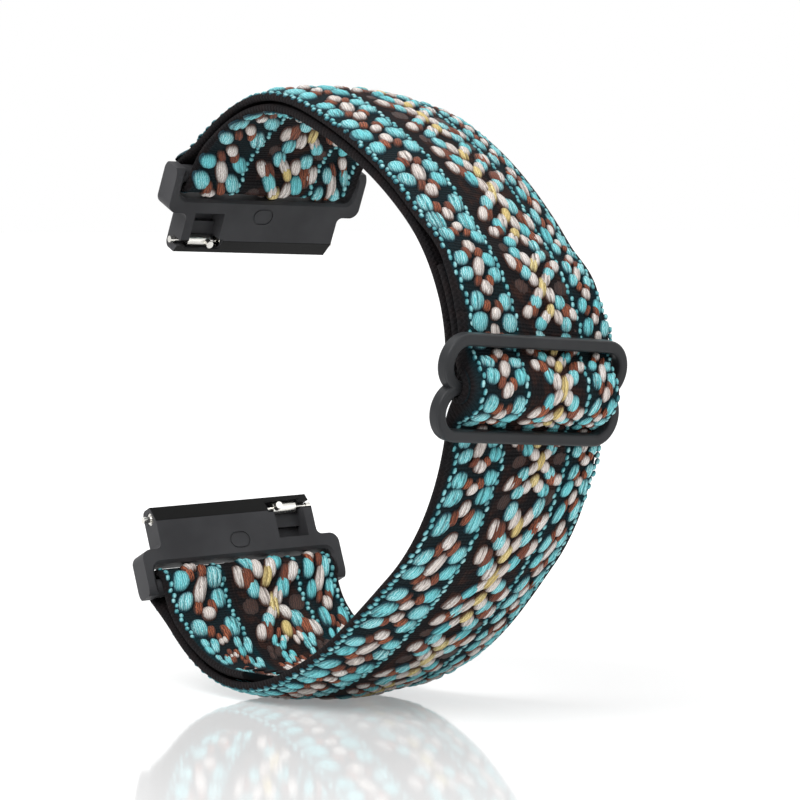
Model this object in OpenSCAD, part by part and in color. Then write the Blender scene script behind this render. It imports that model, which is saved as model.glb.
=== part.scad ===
// Elastic woven watch strap with two moulded quick release ends and a three bar slider.
// The strap stands on its outer curve, its ring axis along Y and the gap for the watch on the left.
// The ring is drawn flat in the XY plane, Z towards the near rim, and is then stood up.

/* [Webbing] */
// Width of the webbing
web_width = 24; // [18:0.5:26]
// Thickness of one layer of webbing
web_thick = 1.15; // [0.9:0.05:1.4]
// How far the middle of the webbing stands above its edges
web_crown = 1.6; // [0:0.1:2]
// Gap left between two layers that lie on each other
layer_gap = 0.1; // [0.05:0.05:0.3]
// Average slope of the webbing, which makes the ring wider at the near rim
flare_mean = 0.125; // [0:0.005:0.2]
// How much the slope grows at the slider and shrinks at the top and the bottom
flare_swing = 0.078; // [0:0.002:0.1]
// How much the slope grows above the slider and shrinks below it
flare_skew = 0.034; // [0:0.002:0.06]

/* [Ring outline, along the wrist side of the webbing] */
// Radius of the round stretch that the slider travels on
apex_radius = 23.65; // [22:0.05:34]
// Half of the angle that this stretch takes
apex_angle = 50; // [44:0.1:56]
// Radius of the flatter stretch above and below it
flank_radius = 68.7; // [40:0.1:80]
// Angle that the flatter stretch takes
flank_angle = 20.6; // [15:0.1:40]
// Radius of the stretch next to each connector
end_radius = 23.6; // [22:0.1:34]
// Angle that this stretch takes at the upper connector
upper_end_angle = 64.7; // [50:0.1:80]
// Angle that this stretch takes at the lower connector
lower_end_angle = 71; // [50:0.1:80]

/* [Slider] */
// How far along the webbing the slider stands above the middle of the round stretch
slider_place = 1.6; // [-4:0.1:4]
// Distance from the middle bar to each outer bar
slider_pitch = 5.3; // [5:0.05:7]
// Width of a slider bar, as seen on the wrist
slider_bar = 1.4; // [1:0.05:1.6]
// Thickness of the slider from front to back
slider_thick = 1.6; // [1.2:0.05:2]
// Radius of the middle bar
slider_core = 0.7; // [0.5:0.05:0.8]
// Room between the webbing edge and the middle of the slider's round ends
slider_side_room = 1.8; // [1.4:0.1:3.5]
// How far the slider sits towards the near rim
slider_shift = 1.2; // [0:0.1:2]
// How far before the upper bar's middle the webbing leaves its grip
grip_above = 1; // [0.8:0.05:1.2]
// How far above the lower bar's middle the webbing enters its grip
grip_below = 0.9; // [0.7:0.05:1.1]
// Share of its width that the webbing keeps round the middle bar
slider_squeeze = 0.85; // [0.85:0.01:1]
// Length of the webbing end that is sewn back above the slider
slider_tail = 5.2; // [4:0.1:6]

/* [Connectors] */
// Width between the lugs of the watch that the strap fits
lug_width = 22; // [18:1:24]
// Side room of the connector between the lugs, both sides together
lug_room = 0.4; // [0.2:0.1:0.8]
// Width of the connector across its shoulders beyond the webbing, each side
arm_width = 1.3; // [1:0.1:2]
// Thickness of the connector plate
plate_thick = 3; // [2.8:0.1:3.6]
// Length of the plate from the slot to the lug end
plate_length = 7.2; // [6.2:0.1:9]
// Length of the shoulders along the plate
shoulder_length = 1.8; // [1.6:0.1:2.8]
// Length of the slanted face at the lug end, on the wrist side
lug_slant = 1.85; // [1:0.05:2.2]
// How far this face drops over its length
lug_drop = 0.95; // [0.4:0.05:1.2]
// Width of the bevel along the slot's rim, on the wrist side
slot_bevel = 0.35; // [0.2:0.05:0.35]
// Distance from the slot to the middle of the moulding mark
mark_place = 1.95; // [1.6:0.05:2.6]
// Radius of the crossbar that the webbing folds round
crossbar_radius = 1.1; // [0.9:0.05:1.3]
// Lean of the upper connector towards the near rim, in degrees
upper_lean = -1.5; // [-5:0.1:10]
// Lean of the lower connector towards the near rim, in degrees
lower_lean = 5.6; // [-5:0.1:10]
// Direction of the lower connector's lean, in degrees
lower_lean_way = -114; // [-160:1:-90]
// Slope of the upper connector below the horizontal, in degrees
upper_slope = 114; // [105:1:130]
// Slope of the lower connector above the horizontal, in degrees
lower_slope = 111; // [105:1:130]
// Length of the webbing end that is sewn back at the lower connector
lower_tail = 22; // [18:0.5:26]
// Distance from a seam to the end of the webbing that it holds
seam_margin = 1.5; // [1.2:0.1:2.5]

/* [Quick release bars] */
// Outer radius of the spring bar's tube
bar_radius = 0.75; // [0.7:0.05:0.9]
// Wall of the tube
bar_wall = 0.15; // [0.12:0.01:0.18]
// Radius of the two tips
tip_radius = 0.4; // [0.3:0.05:0.45]
// How far the fixed tip stands out of the connector
tip_reach = 0.9; // [0.7:0.05:1.2]
// How far the sliding tip stands out of the connector
sliding_reach = 0.6; // [0.5:0.05:1]
// Radius of the thin rod that carries the sliding tip
rod_radius = 0.24; // [0.2:0.01:0.24]
// Radius of the knob that draws the sliding tip back
knob_radius = 0.45; // [0.35:0.05:0.5]
// Width of the ledge in the release window, beside the bar
ledge_width = 1.6; // [1:0.1:2]
// Width of the release window
window_width = 4.1; // [3.6:0.1:4.6]
// Length of the release window along the plate
window_length = 4.9; // [3.4:0.1:5.2]
// Wall between the release window and the side of the connector
window_wall = 1.2; // [1:0.1:1.6]
// Travel of the sliding tip
release_travel = 1.2; // [1:0.05:1.4]

/* [Clearances] */
// Room between the crossbar or the middle bar and the webbing round it
wrap_room = 0.12; // [0.08:0.01:0.2]
// Room between the slider bars and the webbing under them
slider_room = 0.3; // [0.1:0.01:0.4]
// Room between the webbing edge and a connector arm
edge_room = 0.3; // [0.2:0.05:0.6]
// Gap that shows between the fold and the end of the slot
slot_room = 0.35; // [0.2:0.05:0.6]
// Running clearance of the bar parts in their bores
bar_room = 0.03; // [0.02:0.01:0.05]

/* [Hidden] */
$fn = 48;

// Distance from the ring's middle to the middle of the round stretch
ring_middle = 9.2;

// Ring outline: three arcs on each side of the slider, mirrored above and below
radii = [apex_radius, flank_radius, end_radius];
turns = [0, apex_angle, apex_angle + flank_angle];
starts = [0, arc_run(apex_radius, apex_angle),
    arc_run(apex_radius, apex_angle) + arc_run(flank_radius, flank_angle)];
hubs = [[0, 0], (apex_radius - flank_radius) * way(turns[1]),
    (apex_radius - flank_radius) * way(turns[1]) + (flank_radius - end_radius) * way(turns[2])];
upper_end = starts[2] + arc_run(end_radius, upper_end_angle);
lower_end = -starts[2] - arc_run(end_radius, lower_end_angle);

function way(a) = [cos(a), sin(a)];
function arc_run(r, a) = r * a * PI / 180;
function arc_of(s) = abs(s) < starts[1] ? 0 : abs(s) < starts[2] ? 1 : 2;
function side(s) = s < 0 ? -1 : 1;
// Direction of the outward normal at a run s along the outline, positive upwards
function turn(s) = side(s) * (turns[arc_of(s)] + (abs(s) - starts[arc_of(s)]) / radii[arc_of(s)] * 180 / PI);
function hub(s) = [hubs[arc_of(s)].x, side(s) * hubs[arc_of(s)].y];
// Point at a run s along the outline and a height o above it
function spot(s, o) = hub(s) + (radii[arc_of(s)] + o) * way(turn(s));

// Height of the middle of each layer above the outline
low_layer = web_thick / 2;
high_layer = low_layer + web_thick + layer_gap;
top_layer = high_layer + web_thick + layer_gap;

// Smooth step from 0 to 1 between two runs
function ease(s, a, b) = let (t = max(0, min(1, (s - a) / (b - a)))) t * t * (3 - 2 * t);
// The crown fades out next to the slider and next to the connectors
fade = 10;
function crown_at(s) = web_crown * ease(abs(s - slider_place), slider_reach, slider_reach + 2 * fade)
    * (1 - ease(s, upper_end - fade - fold_run, upper_end - fold_run))
    * (1 - ease(-s, -lower_end - fade - fold_run, -lower_end - fold_run));
// Height of the outer layer, which comes down once it has passed the sewn end
function outer_layer(s) = top_layer
    - (top_layer - high_layer) * ease(s, upper_reach + slider_tail, starts[1]);

// The single lower layer stands one layer further out once it has left the slider
function lower_layer(s) = low_layer + (web_thick + layer_gap) * ease(-s, starts[1], starts[1] + 20);
function tail_layer(s) = lower_layer(s) - web_thick - layer_gap;
// Slope of the webbing at a polar angle a about the ring's middle, and the lean that goes with it
function flare(a) = flare_mean + flare_swing * cos(2 * a) + flare_skew * sin(2 * a);
function polar(s) = let (p = spot(s, 0)) atan2(p.y, p.x + ring_middle);
near_end = 20;
function free_lean(s) = atan(flare(polar(s)));
function lean_at(s) = free_lean(s)
    + (upper_lean - free_lean(upper_end)) * ease(s, upper_end - near_end, upper_end)
    + (lower_lean - free_lean(lower_end)) * ease(-s, -lower_end - near_end, -lower_end);
function lean_way(s) = turn(s)
    + (lower_lean_way - turn(lower_end)) * ease(-s, -lower_end - near_end, -lower_end);

// A station of the webbing: middle point, outward direction, crown and lean
function station(s, o) = [spot(s, o), way(lean_way(s)), crown_at(s), lean_at(s), 1, way(turn(s))];
function loose(p, w) = [p, way(slider_turn), 0, slider_lean, w, way(slider_turn)];
function cubic(p, m, q, n, t) = (2 * t * t * t - 3 * t * t + 1) * p + (t * t * t - 2 * t * t + t) * m
    + (3 * t * t - 2 * t * t * t) * q + (t * t * t - t * t) * n;
function heading(p, m, q, n, t) = (6 * t * t - 6 * t) * p + (3 * t * t - 4 * t + 1) * m
    + (6 * t - 6 * t * t) * q + (3 * t * t - 2 * t) * n;

// The fold round a crossbar, in runs along the outline: out on one layer and back on the other
fold_run = 6;
fold_radius = crossbar_radius + wrap_room + web_thick / 2;
fold_open = 110;
fold_lift = (web_thick + layer_gap) / 2;
function fold_curve(end, middle, sign, t) = let (q = fold_radius * [cos(fold_open), sin(fold_open)],
    m = fold_run * [0.9, 0], n = fold_run * [0.9 * sin(fold_open), -0.9 * cos(fold_open)],
    p = cubic([-fold_run, fold_lift], m, q, n, t))
    station(end + side(end) * p.x, middle + sign * p.y);
function fold(end, middle) = concat(
    [for (t = [0 : 0.2 : 0.8]) fold_curve(end, middle, 1, t)],
    [for (a = [fold_open : -20 : -fold_open])
        station(end + side(end) * fold_radius * cos(a), middle + fold_radius * sin(a))],
    [for (t = [0.8 : -0.2 : -0.01]) fold_curve(end, middle, -1, t)]);

// Slider: the plate leans so that the upper bar rides on three layers and the lower bar on one
upper_bar_height = top_layer + web_thick / 2 + slider_room + slider_thick / 2;
lower_bar_height = low_layer + web_thick / 2 + slider_room + slider_thick / 2;
slider_sag = slider_pitch * slider_pitch / 2 / (apex_radius + lower_bar_height);
slider_height = (upper_bar_height + lower_bar_height) / 2 - slider_sag;
slider_tilt = asin((upper_bar_height - lower_bar_height) / 2 / slider_pitch);
slider_turn = turn(slider_place);
slider_lean = lean_at(slider_place);
slider_middle = (apex_radius + slider_height) * way(slider_turn);
slider_reach = slider_pitch + slider_bar;
upper_reach = slider_place + slider_reach;
lower_reach = slider_place - slider_reach;
slider_end = web_width / 2 + slider_side_room - slider_pitch / 2;
loop_radius = slider_core + wrap_room + web_thick / 2;
function core_spot(r, a) = slider_middle + r * way(a + slider_turn);
function round_core(r, a) = loose(core_spot(r, a), slider_squeeze);
// Directions in which the webbing leaves the middle bar
loop_from = 200;
loop_to = 395;
crossing_to = -70;
// The bars clamp the webbing up to here, and it rises over the middle bar in between
upper_grip = slider_place + slider_pitch - grip_above;
lower_grip = slider_place - slider_pitch + grip_below;
// A smooth bridge between two points, each with a direction of travel and a share of the width,
// set o aside from it on its right hand
function bridge(p, a, v, q, b, w, pull, steps, o = 0) = [for (i = [1 : steps - 1])
    let (m = pull * norm(q - p) * way(a), n = pull * norm(q - p) * way(b), t = i / steps,
        d = heading(p, m, q, n, t))
        loose(cubic(p, m, q, n, t) + o * [d.y, -d.x] / norm(d), v + (w - v) * ease(t, 0, 1))];

upper_strap_line = concat(
    [for (i = [0 : 16]) let (s = starts[1] + (upper_end - fold_run - starts[1]) * i / 17)
        station(s, outer_layer(s))],
    fold(upper_end, low_layer + fold_lift),
    [for (i = [16 : -1 : 0]) let (s = starts[1] + (upper_end - fold_run - starts[1]) * i / 17)
        station(s, low_layer)]);
lower_strap_line = concat(
    [for (i = [0 : 16]) let (s = -starts[1] + (lower_end + fold_run + starts[1]) * i / 17)
        station(s, lower_layer(s))],
    fold(lower_end, lower_layer(lower_end) - fold_lift),
    [for (i = [1 : 6]) let (s = lower_end + fold_run + (lower_tail - fold_run) * i / 6)
        station(s, tail_layer(s))]);
outer_stretch_line = [for (i = [0 : 9]) let (s = upper_reach + (starts[1] - upper_reach) * i / 9)
    station(s, outer_layer(s))];
inner_stretch_line = [for (i = [0 : 9]) let (s = upper_reach + (starts[1] - upper_reach) * i / 9)
    station(s, low_layer)];
lower_stretch_line = [for (i = [0 : 9]) let (s = lower_reach - (starts[1] + lower_reach) * i / 9)
    station(s, low_layer)];
lap = web_thick + layer_gap;
loop_line = concat(
    [station(upper_reach, low_layer)],
    bridge(spot(upper_reach, low_layer), turn(upper_reach) - 90, 1,
        core_spot(loop_radius, loop_from), loop_from + slider_turn + 90, slider_squeeze, 1, 6),
    [for (a = [loop_from : (loop_to - loop_from) / 10 : loop_to]) round_core(loop_radius, a)],
    bridge(core_spot(loop_radius, loop_to), loop_to + slider_turn + 90, slider_squeeze,
        spot(upper_grip, high_layer), turn(upper_grip) + 90, 1, 1, 6),
    [for (i = [0 : 4]) let (s = upper_grip + (upper_reach + slider_tail - upper_grip) * i / 4)
        station(s, high_layer)]);
crossing_line = concat(
    [station(upper_reach, top_layer), station(slider_place + slider_pitch, top_layer),
        station(upper_grip, top_layer)],
    bridge(spot(upper_grip, high_layer), turn(upper_grip) - 90, 1,
        core_spot(loop_radius, loop_to), loop_to + slider_turn - 90, slider_squeeze, 1, 6, -lap),
    [for (a = [loop_to - 360 : (crossing_to - loop_to + 360) / 8 : crossing_to])
        round_core(loop_radius + lap, a)],
    bridge(core_spot(loop_radius + lap, crossing_to), crossing_to + slider_turn - 90, slider_squeeze,
        spot(lower_grip, low_layer), turn(lower_grip) - 90, 1, 1.1, 7),
    [for (i = [0 : 2]) let (s = lower_grip + (lower_reach - lower_grip) * i / 2)
        station(s, low_layer)]);

// Section of the webbing: thin rounded edges and a crowned middle
edge_round = 0.4;
columns = 9;
function column(i) = (i / (columns - 1) - 0.5) * (web_width - 2 * edge_round);
across = concat([for (i = [0 : columns - 1]) [column(i), 0.5]],
    [[web_width / 2, 0.25], [web_width / 2, -0.25]],
    [for (i = [columns - 1 : -1 : 0]) [column(i), -0.5]],
    [[-web_width / 2, -0.25], [-web_width / 2, 0.25]]);

// Sweeps the section along a line of stations
module webbing(line) {
    last = len(line) - 1;
    count = len(across);
    points = [for (i = [0 : last]) let (
        p = line[i][0],
        ahead = line[min(i + 1, last)][0] - line[max(i - 1, 0)][0],
        right = [ahead.y, -ahead.x] / norm(ahead),
        end_way = line[i][5],
        // The end faces stand square to the outline, so that strips meet face to face
        normal = i > 0 && i < last ? right : right * end_way < 0 ? -end_way : end_way,
        outward = line[i][1],
        crown = line[i][2],
        tip = line[i][3],
        share = line[i][4])
        for (c = across) let (
            w = c[0] * share,
            q = p + c[1] * web_thick * normal
                + (w * sin(tip) + crown * (1 - pow(2 * w / web_width, 2))) * outward)
            [q.x, q.y, w * cos(tip)]];
    sides = [for (i = [0 : last - 1]) for (j = [0 : count - 1]) let (
        a = i * count + j,
        b = i * count + (j + 1) % count)
        each [[a, b, a + count], [b, b + count, a + count]]];
    // Each end is closed by pairs of triangles between its two faces
    k = columns;
    start = concat([[k - 1, k + 1, k], [k - 1, k + 2, k + 1]],
        [[2 * k + 1, 2 * k + 3, 2 * k + 2], [2 * k + 1, 0, 2 * k + 3]],
        [for (i = [0 : k - 2]) each [[i, 2 * k - i, i + 1], [i, 2 * k + 1 - i, 2 * k - i]]]);
    caps = concat(start, [for (f = start) [f[0], f[2], f[1]] + last * count * [1, 1, 1]]);
    polyhedron(points, concat(sides, caps));
}

// Leans a piece by t degrees towards the near rim, about the ring direction a
module lean(a, t) {
    rotate([0, 0, a]) rotate([0, t, 0]) rotate([0, 0, -a]) children();
}

// Frame of the slider plate: X out of the plate, Y up along it, Z across the webbing
module on_slider() {
    translate(concat(slider_middle, 0)) lean(slider_turn, slider_lean)
        rotate([0, 0, slider_turn - slider_tilt]) translate([0, 0, slider_shift]) children();
}

// Frame of a connector: X across the plate to the release window, Y to the lugs, Z to the wrist
module on_upper_end() {
    translate(concat(spot(upper_end, low_layer + fold_lift), 0)) lean(turn(upper_end), upper_lean)
        rotate([0, 0, -upper_slope]) rotate([-90, -90, 0]) children();
}
module on_lower_end() {
    translate(concat(spot(lower_end, lower_layer(lower_end) - fold_lift), 0)) lean(lower_lean_way, lower_lean)
        rotate([0, 0, lower_slope]) rotate([90, 90, 0]) children();
}

// Stands the ring up on its outer curve, its lowest line level, the ring's middle at the origin
module standing() {
    rotate([90 - atan(flare(90)), 0, 0]) translate([ring_middle, 0, 0]) children();
}

module rounded_bar(width, thick, r) {
    square([thick, width - 2 * r], center = true);
    square([thick - 2 * r, width], center = true);
    for (x = [-1, 1]) for (y = [-1, 1])
        translate([x * (thick / 2 - r), y * (width / 2 - r)]) circle(r, $fn = 24);
}

module slider_frame_shape() {
    bar_edge = 0.4;
    on_slider() {
        for (y = [-1, 1]) translate([0, y * slider_pitch, 0])
            linear_extrude(2 * slider_end, center = true) rounded_bar(slider_bar, slider_thick, bar_edge);
        cylinder(r = slider_core, h = 2 * slider_end, center = true);
        for (y = [-1, 1]) for (z = [-1, 1])
            translate([0, y * slider_pitch / 2, z * slider_end]) rotate([0, 90, 0])
                rotate([0, 0, z > 0 ? 90 : -90])
                rotate_extrude(angle = 180) translate([slider_pitch / 2, 0])
                    rotate(90) rounded_bar(slider_bar, slider_thick, bar_edge);
    }
}

// Connector outline, in the plane of the plate
neck_half = (lug_width - lug_room) / 2;
slot_half = web_width / 2 + edge_room;
shoulder_half = slot_half + arm_width;
slot_end = fold_radius + web_thick / 2 + slot_room;
lug_end = slot_end + plate_length;
arm_end = -crossbar_radius;
bar_axis = lug_end - bar_radius - 0.6;
corner = 1.2;
slot_corner = 1;
neck_fillet = 0.7;
mark_radius = 1.05;
mark_half = 1.4;
mark_depth = 0.12;
mark_line = 0.2;
window_end = neck_half - window_wall;
window_start = window_end - window_width;
trough_half = bar_radius + bar_room;
trough_start = window_start - 0.75;
window_top = bar_axis + trough_half;

module plate_outline() {
    shoulder_top = slot_end + shoulder_length;
    difference() {
        union() {
            translate([-neck_half, arm_end]) square([2 * neck_half, lug_end - arm_end]);
            translate([-shoulder_half, arm_end])
                square([2 * shoulder_half, shoulder_top - arm_end - corner]);
            translate([-shoulder_half + corner, arm_end])
                square([2 * (shoulder_half - corner), shoulder_top - arm_end]);
            for (x = [-1, 1]) translate([x * (shoulder_half - corner), shoulder_top - corner])
                circle(corner);
            // Inner rounding between neck and shoulder
            for (x = [-1, 1]) difference() {
                translate([x * (neck_half + neck_fillet / 2), shoulder_top + neck_fillet / 2])
                    square([neck_fillet, neck_fillet], center = true);
                translate([x * (neck_half + neck_fillet), shoulder_top + neck_fillet])
                    circle(neck_fillet);
            }
        }
        // Slot for the webbing, with round ends, open behind the crossbar
        translate([-slot_half, arm_end - 1])
            square([2 * slot_half, slot_end - slot_corner - arm_end + 1]);
        translate([-slot_half + slot_corner, arm_end - 1])
            square([2 * (slot_half - slot_corner), slot_end - arm_end + 1]);
        for (x = [-1, 1]) translate([x * (slot_half - slot_corner), slot_end - slot_corner])
            circle(slot_corner);
    }
}

// Side view of the plate: flat faces, a slanted lug end and rounded arm ends
module plate_side() {
    half = plate_thick / 2;
    back_round = 0.8;
    square([0.1, plate_thick], center = true);
    polygon([[0, half], [lug_end - lug_slant, half], [lug_end, half - lug_drop],
        [lug_end, back_round - half], [lug_end - back_round, back_round - half],
        [lug_end - back_round, -half], [0, -half]]);
    translate([lug_end - back_round, back_round - half]) circle(back_round);
    circle(half);
}

// Bevel cut along the slot's rim on the wrist side, round its corners and along the arms
module slot_rim() {
    inner = slot_half - slot_corner;
    under = 0.03;
    deep = slot_bevel + under + 0.2;
    edge = slot_end - slot_corner;
    translate([0, 0, plate_thick / 2 - slot_bevel - under]) {
        for (x = [-1, 1]) translate([x * inner, edge, 0])
            rotate(180 / $fn) cylinder(r1 = slot_corner - under, r2 = slot_corner - under + deep, h = deep);
        rotate([90, 0, 90]) linear_extrude(2 * inner + under, center = true)
            polygon([[edge, 0], [slot_end - under, 0], [slot_end - under + deep, deep], [edge, deep]]);
        for (x = [0, 1]) mirror([x, 0, 0]) translate([0, edge + under / 2, 0]) rotate([90, 0, 0])
            linear_extrude(edge - arm_end + 1)
            polygon([[inner, 0], [slot_half - under, 0], [slot_half - under + deep, deep], [inner, deep]]);
    }
}

// Shallow oval mark that a moulding leaves on the wrist side
module mark_shape(r) {
    for (x = [-1, 1]) translate([x * (mark_half - mark_radius), 0]) circle(r);
    square([2 * (mark_half - mark_radius), 2 * r], center = true);
}

module connector() {
    difference() {
        union() {
            intersection() {
                translate([0, 0, -plate_thick]) linear_extrude(2 * plate_thick) plate_outline();
                rotate([90, 0, 90]) linear_extrude(2 * shoulder_half + 1, center = true) plate_side();
            }
            rotate([0, 90, 0]) cylinder(r = crossbar_radius, h = 2 * slot_half + 0.2, center = true);
        }
        slot_rim();
        // Bore for the spring bar's tube, and a narrower one for the sliding tip
        translate([-neck_half - 1, bar_axis, 0]) rotate([0, 90, 0])
            cylinder(r = trough_half, h = neck_half + 1 + trough_start + 0.1);
        translate([window_end - 0.1, bar_axis, 0]) rotate([0, 90, 0])
            cylinder(r = tip_radius + bar_room, h = window_wall + 1);
        translate([window_end - 0.1, bar_axis - tip_radius - bar_room, 0])
            cube([window_wall + 1, 2 * (tip_radius + bar_room), plate_thick]);
        // Release window, with a ledge beside the bar and an open trough for the bar
        translate([window_start, window_top - window_length, -plate_thick / 2 + 0.5])
            cube([window_width, window_length - 2 * trough_half - ledge_width, plate_thick]);
        translate([window_start, window_top - window_length, -0.3])
            cube([window_width, window_length - trough_half, plate_thick]);
        translate([trough_start, bar_axis, 0]) rotate([0, 90, 0])
            cylinder(r = trough_half, h = window_end - trough_start);
        translate([trough_start, bar_axis - trough_half, 0])
            cube([window_end - trough_start, 2 * trough_half, plate_thick]);
        translate([0, slot_end + mark_place, plate_thick / 2 - mark_depth])
            linear_extrude(1) difference() {
                mark_shape(mark_radius);
                mark_shape(mark_radius - mark_line);
            }
    }
}

// Spring bar along X, on the connector's bar axis
tube_end = -neck_half + 0.1;
bore_radius = bar_radius - bar_wall;
flange_length = 0.8;
flange_place = 1.2;
sleeve_radius = bar_radius - bar_room;
sleeve_start = trough_start + release_travel + 0.05;
sleeve_end = window_end - 0.45;
knob_height = 1.45;
plug_length = 1.6;

module on_bar(x) {
    translate([x, bar_axis, 0]) rotate([0, 90, 0]) children();
}
module bar_tube() {
    difference() {
        on_bar(tube_end) cylinder(r = bar_radius, h = trough_start - tube_end);
        on_bar(tube_end - 1) cylinder(r = bore_radius, h = trough_start - tube_end + 2);
    }
}
module fixed_tip() {
    on_bar(-neck_half - tip_reach) cylinder(r = tip_radius, h = tip_reach);
    on_bar(-neck_half) cylinder(r = bore_radius - bar_room / 2, h = tube_end + neck_half + plug_length);
}
module sliding_tip() {
    on_bar(neck_half) cylinder(r = tip_radius, h = sliding_reach);
    on_bar(flange_place) cylinder(r = rod_radius, h = neck_half - flange_place + sliding_reach / 2);
    on_bar(flange_place) cylinder(r = bore_radius - bar_room, h = flange_length);
}
module release_knob() {
    difference() {
        union() {
            on_bar(sleeve_start) cylinder(r = sleeve_radius, h = sleeve_end - sleeve_start);
            translate([sleeve_start + knob_radius, bar_axis, 0])
                cylinder(r = knob_radius, h = knob_height);
        }
        on_bar(sleeve_start - 1) cylinder(r = rod_radius + bar_room / 3, h = sleeve_end - sleeve_start + 2);
    }
}
module bar_spring() {
    spring_start = tube_end + plug_length + 0.02;
    difference() {
        on_bar(spring_start) cylinder(r = bore_radius - bar_room, h = flange_place - spring_start - 0.02);
        on_bar(spring_start - 1) cylinder(r = bore_radius - 0.2, h = flange_place - spring_start + 2);
    }
}

// A row of stitches across the webbing, on its wrist side
stitch_radius = 0.18;
stitch_pitch = 1.6;
stitch_length = 1.1;
module stitches(s, o) {
    count = floor((web_width - 4) / stitch_pitch / 2);
    a = turn(s);
    translate(concat(spot(s, o - stitch_radius - 0.18), 0)) lean(lean_way(s), lean_at(s)) rotate([0, 0, a])
        for (i = [-count : count]) for (y = [-0.8, 0.8])
            translate([crown_at(s) * (1 - pow(2 * i * stitch_pitch / web_width, 2)), y, i * stitch_pitch])
                cylinder(r = stitch_radius, h = stitch_length, center = true, $fn = 16);
}

module upper_strap() { color("teal") standing() webbing(upper_strap_line); }
module lower_strap() { color("teal") standing() webbing(lower_strap_line); }
module upper_stretch_outer() { color("darkcyan") standing() webbing(outer_stretch_line); }
module upper_stretch_inner() { color("darkcyan") standing() webbing(inner_stretch_line); }
module lower_stretch() { color("darkcyan") standing() webbing(lower_stretch_line); }
module slider_crossing() { color("mediumturquoise") standing() webbing(crossing_line); }
module slider_loop() { color("teal") standing() webbing(loop_line); }
module slider_frame() { color("dimgray") standing() slider_frame_shape(); }
module slider_stitching() { color("black") standing() stitches(upper_reach + slider_tail - seam_margin, 0); }
module lower_stitching() {
    color("black") standing() stitches(lower_end + lower_tail - seam_margin,
        tail_layer(lower_end + lower_tail - seam_margin) - web_thick / 2);
}
module upper_connector() { color("dimgray") standing() on_upper_end() connector(); }
module upper_bar_tube() { color("silver") standing() on_upper_end() bar_tube(); }
module upper_fixed_tip() { color("silver") standing() on_upper_end() fixed_tip(); }
module upper_sliding_tip() { color("silver") standing() on_upper_end() sliding_tip(); }
module upper_release_knob() { color("silver") standing() on_upper_end() release_knob(); }
module upper_bar_spring() { color("silver") standing() on_upper_end() bar_spring(); }
module lower_connector() { color("dimgray") standing() on_lower_end() connector(); }
module lower_bar_tube() { color("silver") standing() on_lower_end() bar_tube(); }
module lower_fixed_tip() { color("silver") standing() on_lower_end() fixed_tip(); }
module lower_sliding_tip() { color("silver") standing() on_lower_end() sliding_tip(); }
module lower_release_knob() { color("silver") standing() on_lower_end() release_knob(); }
module lower_bar_spring() { color("silver") standing() on_lower_end() bar_spring(); }

upper_strap();
lower_strap();
upper_stretch_outer();
upper_stretch_inner();
lower_stretch();
slider_crossing();
slider_loop();
slider_frame();
slider_stitching();
lower_stitching();
upper_connector();
upper_bar_tube();
upper_fixed_tip();
upper_sliding_tip();
upper_release_knob();
upper_bar_spring();
lower_connector();
lower_bar_tube();
lower_fixed_tip();
lower_sliding_tip();
lower_release_knob();
lower_bar_spring();
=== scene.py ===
"""Elastic woven watch strap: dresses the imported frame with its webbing, yarns, plastic and metal."""

import logging
import math
from collections.abc import Callable
from dataclasses import dataclass
from enum import Enum

import bmesh
import bpy
import numpy as np
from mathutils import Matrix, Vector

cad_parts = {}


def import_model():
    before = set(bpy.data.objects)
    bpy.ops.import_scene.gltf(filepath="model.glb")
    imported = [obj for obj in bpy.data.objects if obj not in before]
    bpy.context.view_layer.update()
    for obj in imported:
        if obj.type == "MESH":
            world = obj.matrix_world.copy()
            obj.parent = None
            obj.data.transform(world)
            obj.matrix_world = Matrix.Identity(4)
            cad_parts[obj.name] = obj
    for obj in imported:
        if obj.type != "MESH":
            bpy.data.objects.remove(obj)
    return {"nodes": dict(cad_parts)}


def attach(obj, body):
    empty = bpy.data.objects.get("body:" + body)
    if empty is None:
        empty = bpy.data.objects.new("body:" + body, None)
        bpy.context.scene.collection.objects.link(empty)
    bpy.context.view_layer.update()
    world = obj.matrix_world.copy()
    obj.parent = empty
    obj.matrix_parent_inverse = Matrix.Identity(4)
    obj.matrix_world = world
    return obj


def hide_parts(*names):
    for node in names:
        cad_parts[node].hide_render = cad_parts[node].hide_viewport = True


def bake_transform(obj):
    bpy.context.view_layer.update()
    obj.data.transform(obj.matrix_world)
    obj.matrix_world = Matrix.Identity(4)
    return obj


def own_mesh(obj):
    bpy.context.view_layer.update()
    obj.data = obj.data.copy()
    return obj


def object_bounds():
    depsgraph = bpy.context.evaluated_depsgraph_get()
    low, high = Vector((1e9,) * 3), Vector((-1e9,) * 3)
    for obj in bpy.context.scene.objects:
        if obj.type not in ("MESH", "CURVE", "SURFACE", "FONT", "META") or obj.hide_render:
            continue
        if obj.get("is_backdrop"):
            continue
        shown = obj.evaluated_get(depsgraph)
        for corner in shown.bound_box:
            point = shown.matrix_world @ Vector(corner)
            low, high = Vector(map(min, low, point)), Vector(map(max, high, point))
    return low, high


LOG = logging.getLogger("watch_strap")
MM = 0.001
# One full turn in radians, as the waves of the materials take it.
FULL_TURN = 6.2832
# Millimetres of the strip to one unit of the ground weave's UV map.
GROUND_UNIT = 10.0

Colour = tuple[float, float, float, float]
Values = dict[str | int, object]


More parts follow.
